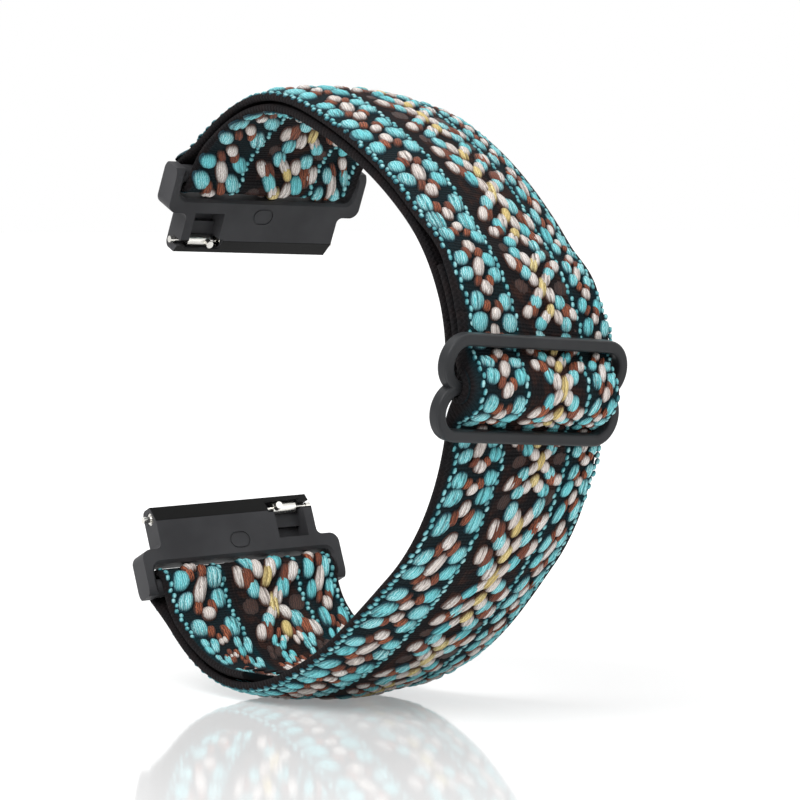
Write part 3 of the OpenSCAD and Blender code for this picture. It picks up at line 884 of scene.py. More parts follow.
    def back(self, start: float, end: float) -> list[Float]:
        """Bundles of the plain back face: long low floats where the front shows its ground.

        Args:
            start: Run at which they start.
            end: Run at which they end.

        Returns:
            The bundles on the strip.
        """
        short, long = (Bundle(Yarn.TEAL, half_along, 0.36, 0.2) for half_along in (1.1, 1.2))
        white, rust = Bundle(Yarn.WHITE, 1.0, 0.34, 0.2), Bundle(Yarn.RUST, 1.2, 0.34, 0.2)
        umber = Bundle(Yarn.UMBER, 1.5, 0.5, 0.16)
        out = []
        for i in range(len(self.block_rows)):
            row = []
            for across in self.back_teal:
                row += [short.at(1.05, across), long.at(7.3, across)]
            for across in self.back_pale:
                row += [white.at(4.1, across), rust.at(9.9, across)]
            for k in self.back_centre:
                last = Bundle(Yarn.OCHRE if k == 0 else Yarn.RUST, 1.2, 0.36, 0.2)
                row += [umber.at(3.6, self.centre + k), last.at(10.4, self.centre + k)]
            out += [self.laid(f, i * self.period, 0.0) for f in row]
        return [f for f in out if start <= f.along < end]

    def broken(self, start: float, end: float) -> list[Float]:
        """Bundles near the sewn end, where they break up into small low tufts, four for each.

        Args:
            start: Run at which they start.
            end: Run at which they end.

        Returns:
            The tufts on the strip.
        """
        out = []
        for f in self.floats(start, end):
            if f.yarn is Yarn.BEAD:
                continue
            for i, (k, side) in enumerate(self.broken_places):
                yarn = Yarn.RUST if i % 2 and f.yarn in (Yarn.WHITE, Yarn.OCHRE) else f.yarn
                out.append(Float(yarn, f.along + k * f.half_along, f.across + side * f.half_across,
                                 self.broken_length * f.half_along, self.broken_width * f.half_across,
                                 self.broken_rise, f.slant))
        return out


def grid_faces(rows: int, columns: int, closed: bool) -> np.ndarray:
    """Quads of a grid of points; closed joins the last column to the first."""
    r, c = np.meshgrid(np.arange(rows - 1), np.arange(columns if closed else columns - 1), indexing="ij")
    d = (c + 1) % columns
    quads = np.stack([r * columns + c, (r + 1) * columns + c, (r + 1) * columns + d, r * columns + d], -1)
    return quads.reshape(-1, 4)


def make_mesh(name: str, points: np.ndarray, faces: np.ndarray, uv: np.ndarray | None = None,
              marks: dict[str, np.ndarray] | None = None,
              slots: np.ndarray | None = None) -> bpy.types.Object:
    """Makes a smooth mesh object from arrays.

    Args:
        name: Name of the piece.
        points: Points in metres.
        faces: Quads as point numbers.
        uv: Place of each point on the surface, kept as a UV map.
        marks: Named numbers for each point, kept as attributes.
        slots: Material place of each face.

    Returns:
        The new object, linked to the scene.
    """
    mesh = bpy.data.meshes.new(name)
    mesh.vertices.add(len(points))
    mesh.vertices.foreach_set("co", points.astype(np.float32).ravel())
    mesh.loops.add(faces.size)
    mesh.loops.foreach_set("vertex_index", faces.astype(np.int32).ravel())
    mesh.polygons.add(len(faces))
    mesh.polygons.foreach_set("loop_start", np.arange(0, faces.size, faces.shape[1], dtype=np.int32))
    mesh.polygons.foreach_set("loop_total", np.full(len(faces), faces.shape[1], dtype=np.int32))
    mesh.update(calc_edges=True)
    mesh.polygons.foreach_set("use_smooth", np.ones(len(faces), bool))
    if slots is not None:
        mesh.polygons.foreach_set("material_index", slots.astype(np.int32))
    if uv is not None:
        layer = mesh.uv_layers.new(name="weave")
        layer.data.foreach_set("uv", uv[faces.ravel()].astype(np.float32).ravel())
    for mark, values in (marks or {}).items():
        mesh.attributes.new(mark, "FLOAT", "POINT").data.foreach_set("value", values.astype(np.float32))
    mesh.validate()
    piece = bpy.data.objects.new(name, mesh)
    bpy.context.scene.collection.objects.link(piece)
    return piece


def close_ends(piece: bpy.types.Object, rows: int, columns: int) -> None:
    """Closes the two ends of a swept section with one face each, and turns all faces outward.

    Args:
        piece: The swept piece.
        rows: Number of sections along it.
        columns: Number of points in a section.
    """
    bm = bmesh.new()
    bm.from_mesh(piece.data)
    bm.verts.ensure_lookup_table()
    bm.faces.new([bm.verts[i] for i in range(columns)])
    bm.faces.new([bm.verts[(rows - 1) * columns + i] for i in range(columns)][::-1])
    bmesh.ops.recalc_face_normals(bm, faces=bm.faces)
    bm.to_mesh(piece.data)
    bm.free()


class Nodes:
    """Short ways to build a node tree."""

    def __init__(self, tree: bpy.types.NodeTree) -> None:
        """Keeps the tree and clears it."""
        self.tree = tree
        tree.nodes.clear()

    def add(self, kind: str, **values: object) -> bpy.types.Node:
        """Adds a node and sets its properties."""
        node = self.tree.nodes.new(kind)
        for key, value in values.items():
            setattr(node, key, value)
        return node

    def link(self, a: bpy.types.NodeSocket, b: bpy.types.NodeSocket) -> None:
        """Joins an output to an input."""
        self.tree.links.new(a, b)

    def fill(self, node: bpy.types.Node, values: Values) -> bpy.types.Node:
        """Joins sockets to a node's inputs, by name or place, or sets plain values; returns the node."""
        for place, value in values.items():
            if isinstance(value, bpy.types.NodeSocket):
                self.link(value, node.inputs[place])
            else:
                node.inputs[place].default_value = value
        return node

    def math(self, operation: str, *inputs: object) -> bpy.types.NodeSocket:
        """A Math node on sockets or numbers; returns its output."""
        return self.fill(self.add("ShaderNodeMath", operation=operation), dict(enumerate(inputs))).outputs[0]

    def plus(self, a: object, b: object) -> bpy.types.NodeSocket:
        """The sum of two values."""
        return self.math("ADD", a, b)

    def minus(self, a: object, b: object) -> bpy.types.NodeSocket:
        """The first value less the second."""
        return self.math("SUBTRACT", a, b)

    def times(self, a: object, b: object) -> bpy.types.NodeSocket:
        """The product of two values."""
        return self.math("MULTIPLY", a, b)

    def mix(self, factor: object, a: object, b: object) -> bpy.types.NodeSocket:
        """A colour mix of sockets or colours; returns its output."""
        node = self.add("ShaderNodeMix", data_type="RGBA", blend_type="MIX")
        return self.fill(node, {0: factor, 6: a, 7: b}).outputs[2]

    def ramp(self, source: bpy.types.NodeSocket, low: float, high: float) -> bpy.types.NodeSocket:
        """Maps a value from low..high to 0..1, held at the ends."""
        return self.fill(self.add("ShaderNodeMapRange", clamp=True), {0: source, 1: low, 2: high}).outputs[0]

    def noise(self, place: bpy.types.NodeSocket, scale: float, detail: float = 2.0) -> bpy.types.NodeSocket:
        """A cloudy value at a place."""
        node = self.add("ShaderNodeTexNoise")
        return self.fill(node, {"Scale": scale, "Detail": detail, "Vector": place}).outputs[0]

    def mark(self, name: str) -> bpy.types.NodeSocket:
        """A named number of the mesh's points."""
        return self.add("ShaderNodeAttribute", attribute_name=name).outputs["Fac"]

    def woven_place(self) -> tuple[bpy.types.NodeSocket, bpy.types.NodeSocket, bpy.types.NodeSocket]:
        """The place on the weave: as one value, across and along."""
        place = self.add("ShaderNodeUVMap", uv_map="weave").outputs[0]
        split = self.fill(self.add("ShaderNodeSeparateXYZ"), {0: place})
        return place, split.outputs[0], split.outputs[1]


class Surface(Nodes):
    """A material with one shader, the skin."""

    def __init__(self, name: str) -> None:
        """Makes the material and joins its skin to its output."""
        self.material = bpy.data.materials.new(name)
        self.material.use_nodes = True
        super().__init__(self.material.node_tree)
        out = self.add("ShaderNodeOutputMaterial")
        self.skin = self.add("ShaderNodeBsdfPrincipled")
        self.link(self.skin.outputs[0], out.inputs[0])

    def relief(self, height: bpy.types.NodeSocket, strength: float, distance: float) -> None:
        """Gives the skin a relief of a height, with its strength and its depth in metres."""
        bump = self.add("ShaderNodeBump")
        self.fill(bump, {"Strength": strength, "Distance": distance, "Height": height})
        self.link(bump.outputs[0], self.skin.inputs["Normal"])


def threads_group() -> bpy.types.NodeTree:
    """Fine threads laid side by side: height, and a shade for painted light, from the place across a bundle.

    The height is half the sine of a turn for each thread, plus a half, after a noise has set the threads
    aside a little; a finer noise roughens it. The shade is mostly that height, a painted highlight on the
    thread crests and painted shade between them, plus a cloud of tone.

    Returns:
        The node group, the same one for all yarns.
    """
    name = "fine_threads"
    tree = bpy.data.node_groups.get(name)
    if tree:
        return tree
    tree = bpy.data.node_groups.new(name, "ShaderNodeTree")
    n = Nodes(tree)
    for label, value in (("Count", 7.0), ("Wander", 0.6)):
        socket = tree.interface.new_socket(label, in_out="INPUT", socket_type="NodeSocketFloat")
        socket.default_value = value
    for label in ("Height", "Shade"):
        tree.interface.new_socket(label, in_out="OUTPUT", socket_type="NodeSocketFloat")
    start, end = n.add("NodeGroupInput"), n.add("NodeGroupOutput")
    place, across, _ = n.woven_place()
    cloud = n.noise(place, 2.2, 3.0)
    wander = n.times(n.minus(cloud, 0.5), start.outputs["Wander"])
    wave = n.math("SINE", n.times(n.times(n.plus(across, wander), start.outputs["Count"]), FULL_TURN))
    height = n.plus(n.times(wave, 0.5), 0.5)
    fine = n.noise(place, 9.0, 4.0)
    n.fill(end, {
        "Height": n.plus(n.times(height, 0.8), n.times(fine, 0.3)),
        # Shade: painted light, mostly the thread height, plus a cloud of tone.
        "Shade": n.plus(n.times(height, 0.6), n.times(cloud, 0.4)),
    })
    return tree


@dataclass(frozen=True)
class YarnFinish:
    """Soft yarn: painted highlight on crests, a body colour, painted shade at foot and furrows, a tone per
    bundle.
    """

    name: str
    # The first colour is a painted highlight on the crests, the third painted shade in furrows and round the
    # foot.
    light: Colour
    body: Colour
    painted_shade: Colour
    threads: float = 3.2
    bump: float = 0.6
    depth: float = 0.12 * MM
    highlight_and_tone: tuple[float, float] = (0.25, 0.85)
    own_shade: tuple[float, float] = (-0.25, 1.0)
    furrow: float = 0.45
    rim: tuple[float, float] = (0.46, 0.97)
    painted_rim_wander: float = 0.12
    roughness: float = 0.52
    specular: float = 0.25

    def material(self) -> bpy.types.Material:
        """Builds the material: painted shade in the thread furrows and round each foot, painted highlight on
        crests.

        Returns:
            The material.
        """
        n = Surface(self.name)
        group = n.fill(n.add("ShaderNodeGroup", node_tree=threads_group()), {"Count": self.threads})
        shade = group.outputs["Shade"]
        # Painted highlight: body turns to the light colour on thread crests, times a random tone per bundle.
        highlight_and_tone = n.times(n.ramp(shade, *self.highlight_and_tone), n.ramp(n.mark("shade"), *self.own_shade))
        # Painted shade in the furrows between threads.
        furrow = n.times(n.minus(1.0, n.ramp(shade, 0.0, self.furrow)), self.furrow)
        threaded = n.mix(furrow, n.mix(highlight_and_tone, self.body, self.light), self.painted_shade)
        # Painted shade round each bundle's foot, where its crest is low.
        rim = n.ramp(n.plus(n.mark("crest"), n.times(shade, self.painted_rim_wander)), *self.rim)
        n.relief(group.outputs["Height"], self.bump, self.depth)
        n.fill(n.skin, {"Base Color": n.mix(rim, self.painted_shade, threaded), "Roughness": self.roughness,
                        "Specular IOR Level": self.specular})
        return n.material


@dataclass(frozen=True)
class GroundFinish:
    """The black ground weave, ribbed across its width, with a knitted look along its edges.

    rib, warp, knit and loop are the lengths of its repeats in millimetres. centre and brown_middle are places
    on its UV map, flat and brown_half distances on it. brown_share is the share of brown in a patch: all
    over, and what the middle has more.
    """

    name: str = "black_ground_weave"
    black: Colour = linear(29, 27, 29)
    brown: Colour = linear(68, 44, 37)
    teal: Colour = linear(4, 52, 60)
    rib: float = 0.42
    warp: float = 0.5
    knit: float = 0.62
    loop: float = 0.75
    centre: float = 1.2
    flat: float = 1.07
    brown_middle: float = 1.4
    brown_half: float = 0.5
    brown_share: tuple[float, float] = (0.1, 0.65)
    patch_scale: float = 5.0
    patch: tuple[float, float] = (0.45, 0.62)
    rib_height: float = 0.5
    warp_height: float = 0.22
    knit_height: float = 3.0
    fray_height: float = 1.6
    fray_scale: float = 60.0
    shadow: float = 0.65
    bump: float = 0.7
    depth: float = 0.12 * MM
    roughness: float = 0.8
    specular: float = 0.1

    def _height(self, n: Surface) -> bpy.types.NodeSocket:
        """Height of the weave: ribs and warp, a knit at the edges, all broken up by noise.

        Args:
            n: The material's nodes.

        Returns:
            The height's output.
        """
        place, across, run = n.woven_place()
        rib = n.math("SINE", n.times(run, FULL_TURN * GROUND_UNIT / self.rib))
        warp = n.math("SINE", n.times(across, FULL_TURN * GROUND_UNIT / self.warp))
        body = n.plus(n.times(rib, self.rib_height), n.times(warp, self.warp_height))
        row = n.times(run, GROUND_UNIT / self.knit)
        odd = n.math("ABSOLUTE", n.minus(n.math("FRACT", row), 0.5))
        slanted = n.plus(n.times(across, GROUND_UNIT / self.loop), odd)
        vee = n.math("ABSOLUTE", n.minus(n.math("FRACT", slanted), 0.5))
        knit = n.times(n.minus(vee, 0.25), self.knit_height)
        edge = n.math("GREATER_THAN", n.math("ABSOLUTE", n.minus(across, self.centre)), self.flat)
        blend = n.plus(n.times(body, n.minus(1.0, edge)), n.times(knit, edge))
        fray = n.minus(n.noise(place, self.fray_scale, 5.0), 0.5)
        return n.plus(blend, n.times(fray, self.fray_height))

    def material(self) -> bpy.types.Material:
        """Builds the material: black, with brown in patches, most in the middle, and teal where marked.

        Returns:
            The material.
        """
        n = Surface(self.name)
        height = self._height(n)
        place, across, _ = n.woven_place()
        off_middle = n.math("ABSOLUTE", n.minus(across, self.brown_middle))
        middle = n.math("LESS_THAN", off_middle, self.brown_half)
        share = n.plus(n.times(middle, self.brown_share[1]), self.brown_share[0])
        tint = n.times(n.ramp(n.noise(place, self.patch_scale), *self.patch), share)
        colour = n.mix(n.mark("teal"), n.mix(tint, self.black, self.brown), self.teal)
        shadow = n.mix(self.shadow, colour, (0.0, 0.0, 0.0, 1.0))
        n.relief(height, self.bump, self.depth)
        n.fill(n.skin, {"Base Color": n.mix(n.ramp(height, -1.0, 1.0), shadow, colour),
                        "Roughness": self.roughness, "Specular IOR Level": self.specular})
        return n.material


@dataclass(frozen=True)
class HardFinish:
    """Moulded plastic or metal: base colour, roughness, fine grain in the normal and a cloudy roughness.

    grain is the scale of the grain's noise, and cloud_size how many times larger the clouds are. lighter is
    what the colour of a cloud is multiplied by, and what is added to it. The last two fields give the colour
    of a flat face coloured near black, and how far under that face its colour starts and is full, in metres.
    """

    name: str
    base: Colour
    roughness: float
    grain: float
    grain_depth: float
    metallic: float = 0.0
    specular: float = 0.14
    coat: float = 0.0
    coat_roughness: float = 0.3
    grain_strength: float = 0.35
    cloud_size: float = 12.0
    cloud_swing: float = 0.16
    cloud: tuple[float, float] = (0.35, 0.65)
    lighter: tuple[float, float] = (1.35, 0.004)
    plane_black: Colour = (0.0004, 0.0004, 0.0004, 1.0)
    plane_black_from: tuple[float, float] = (0.06 * MM, 0.02 * MM)

    def material(self, dark_plane: tuple[np.ndarray, float] | None = None) -> bpy.types.Material:
        """Builds the material.

        Args:
            dark_plane: Way and distance of a flat face that is coloured near black, where there is one.

        Returns:
            The material.
        """
        n = Surface(self.name)
        place = n.add("ShaderNodeTexCoord").outputs["Object"]
        cloud = n.noise(place, self.grain / self.cloud_size, 3.0)
        lighter = tuple(min(1.0, c * self.lighter[0] + self.lighter[1]) for c in self.base[:3]) + (1.0,)
        colour = n.mix(n.ramp(cloud, *self.cloud), self.base, lighter)
        # One flat face is coloured near black, from a little under it on.
        if dark_plane:
            reach = n.add("ShaderNodeVectorMath", operation="DOT_PRODUCT")
            distance = n.fill(reach, {0: place, 1: tuple(dark_plane[0])}).outputs["Value"]
            beyond = n.ramp(distance, *(dark_plane[1] - under for under in self.plane_black_from))
            colour = n.mix(beyond, colour, self.plane_black)
        n.relief(n.noise(place, self.grain, 6.0), self.grain_strength, self.grain_depth)
        n.fill(n.skin, {
            "Base Color": colour,
            "Roughness": n.plus(n.times(cloud, self.cloud_swing), self.roughness - self.cloud_swing / 2),
            "Metallic": self.metallic, "Specular IOR Level": self.specular,
            "Coat Weight": self.coat, "Coat Roughness": self.coat_roughness,
        })
        return n.material


# Each yarn: its painted highlight colour on the crests, its body colour and its painted shade colour.
YARNS = {
    Yarn.TEAL: YarnFinish("teal_yarn", linear(214, 252, 254), linear(104, 220, 228), linear(0, 46, 58)),
    Yarn.WHITE: YarnFinish("cream_yarn", linear(255, 252, 249), linear(238, 226, 218), linear(76, 50, 42)),
    Yarn.RUST: YarnFinish("rust_yarn", linear(190, 108, 72), linear(108, 56, 39), linear(28, 15, 14)),
    Yarn.OCHRE: YarnFinish("ochre_yarn", linear(255, 242, 186), linear(232, 206, 132), linear(80, 52, 30)),
    Yarn.UMBER: YarnFinish("umber_yarn", linear(84, 56, 46), linear(54, 36, 32), linear(24, 17, 17)),
    Yarn.BEAD: YarnFinish("pale_teal_bead", linear(190, 238, 240), linear(112, 202, 208), linear(0, 66, 78),
                          threads=1.0, bump=0.2),
}
BLACK_METAL = HardFinish("black_satin_metal", linear(38, 39, 41), 0.4, 1400.0, 0.01 * MM, coat=0.1)
BLACK_PLASTIC = HardFinish("black_moulded_plastic", linear(56, 56, 58), 0.5, 1600.0, 0.015 * MM)
STEEL = HardFinish("bright_steel", linear(205, 203, 198), 0.26, 1500.0, 0.006 * MM,
                   metallic=1.0, specular=0.5)
THREAD = HardFinish("black_sewing_thread", linear(30, 30, 32), 0.8, 2500.0, 0.03 * MM)


@dataclass(frozen=True)
class TuftShape:
    """How a bundle departs from an even dome.

    Each bundle's place, length, rise, slant, skew and bow depart from the even by the number here times a
    random one from -1 to 1. strands is how many strands a bundle has to a millimetre of its half width, which
    departs by strand_swing. narrow_along and narrow_across are how far it narrows at its sides and ends, and
    the round powers how square it is. A furrow lies between two strands, set off and twisted by shares of the
    half width. under is how far its foot lies in the ground, and press how much a bar flattens it.
    """

    place_along: float = 0.08
    place_across: float = 0.06
    length: float = 0.08
    rise: float = 0.12
    slant: float = 0.08
    skew: float = 0.14
    bow: float = 0.12
    strands: float = 2.4
    strand_swing: float = 0.9
    most_strands: int = 4
    narrow_along: float = 0.24
    narrow_across: float = 0.26
    round_across: float = 2.3
    round_along: float = 2.6
    furrow_off: float = 0.34
    furrow_twist: float = 0.26
    furrow_power: int = 4
    furrow_depth: tuple[float, float] = (0.7, 0.5)
    rim: float = 0.99
    under: float = 0.1
    press: float = 0.7
    press_width: float = 1.0


@dataclass
class Webbing:
    """The woven strip: its ground weave and the yarn bundles on its faces, two or three pieces for each node.

    sink is how far the ground lies under the solids' faces, drift and turned the slant of all bundles before
    the upper fold and what it loses there, sewn the run up to which the bundles are broken, and hidden the
    length before the tail that doesn't show. The grids are points across and along a bundle.
    """

    path: WovenPath
    pattern: Jacquard
    shape: TuftShape = TuftShape()
    ground_step: float = 0.3
    columns: int = 61
    side_points: int = 7
    tuft_grid: tuple[int, int] = (13, 9)
    bead_grid: tuple[int, int] = (5, 5)
    sink: float = 0.14
    edge: float = 0.4
    back_offset: float = 0.02
    drift: float = 0.16
    groove: float = 0.42
    turned: float = 0.5
    turned_from: tuple[float, float] = (170.0, 182.0)
    sewn: float = 12.6
    hidden: float = 5.0
    loop_bare: float = 3.0
    bead_spread: float = 0.38
    stripe_teal: float = 0.35
    edge_clear: float = 0.6
    seed: int = 7

    def __post_init__(self) -> None:
        """Builds the materials and starts the random numbers of the bundles' shapes and shades."""
        self.ground = GroundFinish().material()
        self.yarns = [YARNS[y].material() for y in Yarn]
        self.random = np.random.default_rng(self.seed)

    def section(self, half: float) -> np.ndarray:
        """The ground weave's section, as (across, height): two flat faces joined by half circles.

        Args:
            half: Half of the ground's thickness.

        Returns:
            The section's points, one row each.
        """
        edge, width = self.edge, self.path.width
        top = np.linspace(edge, width - edge, self.columns)
        a = np.radians(np.linspace(90, -90, self.side_points + 2)[1:-1])
        far = np.stack([width - edge + edge * np.cos(a), half * np.sin(a)], -1)
        return np.concatenate([
            np.stack([top, np.full_like(top, half)], -1), far,
            np.stack([top[::-1], np.full_like(top, -half)], -1),
            np.stack([width - far[::-1, 0], far[::-1, 1]], -1)])

    def ground_piece(self, node: str) -> bpy.types.Object:
        """The ground weave of a node: its section swept along the strip by the path's formula.

        Args:
            node: The node that it stands for.

        Returns:
            The piece.
        """
        start, end = self.path.spans[node]
        runs = np.linspace(start, end, max(8, int((end - start) / self.ground_step)))
        half = self.path.thick / 2 - self.sink
        section = self.section(half)
        rows, columns = len(runs), len(section)
        run = np.repeat(runs, columns)
        across, height = np.tile(section[:, 0], rows), np.tile(section[:, 1], rows)
        points = self.path.place(run, across, height)
        offset = np.where(height < 0, self.back_offset, 0)
        uv = np.stack([across / GROUND_UNIT, run / GROUND_UNIT + offset], -1)
        teal = self.teal_share(run, across) * (height >= half)
        piece = make_mesh(node + "_weave", points, grid_faces(rows, columns, True), uv, {"teal": teal})
        close_ends(piece, rows, columns)
        piece.data.materials.append(self.ground)
        return piece

    def teal_share(self, run: np.ndarray, across: np.ndarray) -> np.ndarray:
        """Share of dark teal in the ground: under the bead rows, and less of it over the block stripes."""
        aside = np.array(self.pattern.aside)
        place = across - np.interp(run, aside[:, 0], aside[:, 1])
        rows = self.pattern.bead_rows
        bead = sum(np.exp(-(((place - row) / self.bead_spread) ** 2)) for row in rows)
        stripe = ((place > rows[0]) & (place < rows[1])) | ((place > rows[2]) & (place < rows[3]))
        inside = (across > self.edge_clear) * (across < self.path.width - self.edge_clear)
        return np.clip(bead + self.stripe_teal * stripe, 0, 1) * inside

    def yarn_piece(self, name: str, floats: list[Float], face: Face) -> bpy.types.Object | None:
        """All yarn bundles of a node's face as one piece.

        Args:
            name: Name of the piece.
            floats: The bundles.
            face: The face that they lie on.

        Returns:
            The piece, or None where there are no bundles.
        """
        if not floats:
            return None
        beads = [b for b in floats if b.yarn is Yarn.BEAD]
        tufts = [b for b in floats if b.yarn is not Yarn.BEAD]
        groups = ((tufts, self.tuft_grid), (beads, self.bead_grid))
        parts = [self._domes(group, face, *grid) for group, grid in groups if group]
        shift = np.cumsum([0] + [len(part[0]) for part in parts[:-1]])
        faces = np.concatenate([part[1] + n for part, n in zip(parts, shift)])
        points, _, uv, shade, crest, slots = (np.concatenate(arrays) for arrays in zip(*parts))
        piece = make_mesh(name, points, faces, uv, {"shade": shade, "crest": crest}, slots)
        for material in self.yarns:
            piece.data.materials.append(material)
        return piece

    def _domes(self, floats: list[Float], face: Face, columns: int, rows: int) -> tuple[np.ndarray, ...]:
        """Domes of a kind, each on the same grid of (u, v), across and along, from -1 to 1.

        A dome rises by the square root of one less a power of u times one less a power of v, narrows towards
        its ends, and is set down on the strip by the path's formula. Across it the height also swells and
        sinks as a cosine, up to four times, as if it were made of that many strands. The tufts run slightly
        towards the near edge as they go down the strip, and the other way past the upper fold.

        Args:
            floats: The bundles.
            face: The face that they lie on.
            columns: Points across a bundle.
            rows: Points along a bundle.

        Returns:
            Points, faces, UV, shade and crest of each point and material place of each face.
        """
        shape = self.shape
        steps = [np.sin(np.linspace(-1, 1, count) * math.pi / 2) for count in (rows, columns)]
        v, u = (a.ravel() for a in np.meshgrid(*steps, indexing="ij"))
        place_along, place_across, half_along, half_across, rise, own_slant = (
            np.array([getattr(b, name) for b in floats])[:, None]
            for name in ("along", "across", "half_along", "half_across", "rise", "slant"))
        wobble = self.random.uniform(-1, 1, (len(floats), 8))
        w0, w1, w2, w3, w4, w5, w6, w7 = (wobble[:, i:i + 1] for i in range(8))
        strands = np.round(half_across * shape.strands + shape.strand_swing * w4)
        strands = np.clip(strands, 1, shape.most_strands)
        bow = shape.bow * w5 * (1 - v * v)
        along = (place_along + shape.place_along * w0
                 + half_along * (1 + shape.length * w1) * v * (1 - shape.narrow_along * u * u)
                 + shape.skew * w6 * half_across * u)
        slant = own_slant + self.drift + shape.slant * w7 - self.turned * ease(place_along, *self.turned_from)
        across = (place_across + shape.place_across * w2
                  + half_across * (u * (1 - shape.narrow_across * v * v) + bow) + slant * half_along * v)
        dome = (1 - np.abs(u) ** shape.round_across) * (1 - np.abs(v) ** shape.round_along)
        dome = np.sqrt(np.maximum(dome, 0))
        off = u + (shape.furrow_off * w3 + shape.furrow_twist * w2 * v) * (1 - u * u)
        furrow = (0.5 + 0.5 * np.cos(math.pi * strands * (off + 1))) ** shape.furrow_power
        depth = self.groove * (shape.furrow_depth[0] + shape.furrow_depth[1] * w1)
        groove = 1 - depth * np.where((strands > 1) & (np.abs(u) < shape.rim), furrow, 0)
        under_bars = sum(np.exp(-(((along - run) / shape.press_width) ** 2)) for run in self.path.bar_runs)
        press = 1 - shape.press * under_bars
        foot = self.path.thick / 2 - self.sink - shape.under
        height = foot + rise * (1 + shape.rise * w3) * dome * groove * press
        hold = np.broadcast_to(place_across, across.shape).ravel()
        points = self.path.place(along.ravel(), across.ravel(), face.value * height.ravel(), hold)
        faces = grid_faces(rows, columns, False)
        if face is Face.PATTERNED:
            faces = faces[:, ::-1]
        count = rows * columns
        faces = (faces[None] + (np.arange(len(floats)) * count)[:, None, None]).reshape(-1, 4)
        uv = np.stack([half_across * u, half_along * v], -1).reshape(-1, 2)
        uv = uv + np.repeat(self.random.uniform(0, 30, (len(floats), 2)).round(2), count, 0)
        shade = np.repeat(self.random.uniform(0, 1, len(floats)), count)
        slots = np.repeat([b.yarn.value for b in floats], (rows - 1) * (columns - 1))
        return points, faces, uv, shade, (dome * groove).ravel(), slots

    def _front(self, node: str, start: float, end: float) -> list[Float]:
        """Bundles of a node's patterned face, broken up at the sewn end; of the loop only those that show."""
        if node == "lower_strap":
            return self.pattern.broken(start, self.sewn) + self.pattern.floats(self.sewn, end)
        if node == "slider_loop":
            shown = self.pattern.floats(start, end - self.path.tail - self.hidden)
            return [f for f in shown if f.across > self.loop_bare]
        return self.pattern.floats(start, end)

    def _back(self, node: str, start: float, end: float) -> list[Float]:
        """Bundles of a node's back face, where it shows; the lower strap's start past its sewn tail."""
        if node not in ("lower_strap", "lower_stretch", "slider_crossing"):
            return []
        return self.pattern.back(start + (self.path.lower_tail * 2 if node == "lower_strap" else 0), end)

    def build(self) -> list[bpy.types.Object]:
        """Builds every stretch of the strip and ties those that have a body to it.

        Returns:
            The pieces made.
        """
        bodies = {"lower_strap": "band", "upper_strap": "band",
                  "slider_crossing": "slider", "slider_loop": "slider"}
        made = []
        for node, (start, end) in self.path.spans.items():
            ground = self.ground_piece(node)
            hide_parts(node)
            front = self.yarn_piece(node + "_yarns", self._front(node, start, end), Face.PATTERNED)
            back = self.yarn_piece(node + "_back_yarns", self._back(node, start, end), Face.BACK)
            for piece in filter(None, (ground, front, back)):
                self._tie(piece, node, bodies)
                made.append(piece)
                LOG.info("%s: %d faces", piece.name, len(piece.data.polygons))
        return made

    def _tie(self, piece: bpy.types.Object, node: str, bodies: dict[str, str]) -> None:
        """Rides a piece on its body, or else bakes its place into its mesh.

        Args:
            piece: The piece.
            node: The node that it belongs to.
            bodies: Bodies of the nodes that have one.
        """
        if node in bodies:
            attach(piece, bodies[node])
            return
        ring = self.path.ring
        fixed, moved = ring.starts[1], self.path.upper_reach
        if node == "lower_stretch":
            fixed, moved = -ring.starts[1], self.path.lower_reach
        ends = [ring.stand(np.append(ring.spot_at(s, 0.0), 0.0)) for s in (fixed, moved)]
        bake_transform(piece)


@dataclass
class Hardware:
    """The slider, the connectors and the spring bars, which keep their CAD shapes.

    slant_least and slant_most are the turns in degrees between which a connector's slanted face lies.
    """

    nodes: dict[str, bpy.types.Object]
    slant_least: float = 18.0
    slant_most: float = 40.0

    def slanted_face(self, node: bpy.types.Object) -> tuple[np.ndarray, float]:
        """Way and distance of a connector's slanted face, towards the watch.

        Its way is the one of the most area among those that turn a little from the widest face's own way.

        Args:
            node: The connector.

        Returns:
            The face's way, and its distance along it in metres.
        """
        mesh, count = node.data, len(node.data.polygons)
        normal, middle, area = np.empty(count * 3), np.empty(count * 3), np.empty(count)
        mesh.polygons.foreach_get("normal", normal)
        mesh.polygons.foreach_get("center", middle)
        mesh.polygons.foreach_get("area", area)
        normal, middle = normal.reshape(-1, 3), middle.reshape(-1, 3)
        ways, place = np.unique(normal.round(2), axis=0, return_inverse=True)
        total = np.bincount(place.ravel(), weights=area)
        wrist = ways @ middle.mean(0) < 0
        face = ways[np.argmax(total * wrist)]
        turn = np.degrees(np.arccos(np.clip(ways @ face / np.linalg.norm(ways, axis=1), -1, 1)))
        best = np.argmax(np.where((turn > self.slant_least) & (turn < self.slant_most), total, 0))
        own = place.ravel() == best
        slanted = np.average(normal[own], axis=0, weights=area[own])
        LOG.info("%s: slanted face turns %.1f degrees, area %.1f mm2",
                 node.name, turn[best], total[best] / MM**2)
        return slanted, float(np.average(middle[own] @ slanted, weights=area[own]))

    def dress(self) -> None:
        """Gives each hard node its finish."""
        bar_pieces = ("bar_tube", "fixed_tip", "sliding_tip", "release_knob", "bar_spring")
        metal, steel, thread = (f.material() for f in (BLACK_METAL, STEEL, THREAD))
        for name, node in self.nodes.items():
            finish = None
            if name.endswith("connector"):
                finish = BLACK_PLASTIC.material(self.slanted_face(node))
            elif name == "slider_frame":
                finish = metal
            elif name.endswith("stitching"):
                finish = thread
            elif name.split("_", 1)[1] in bar_pieces:
                finish = steel
            if finish:
                node.data.materials.clear()
                node.data.materials.append(finish)
                LOG.info("%s dressed as %s", name, finish.name)


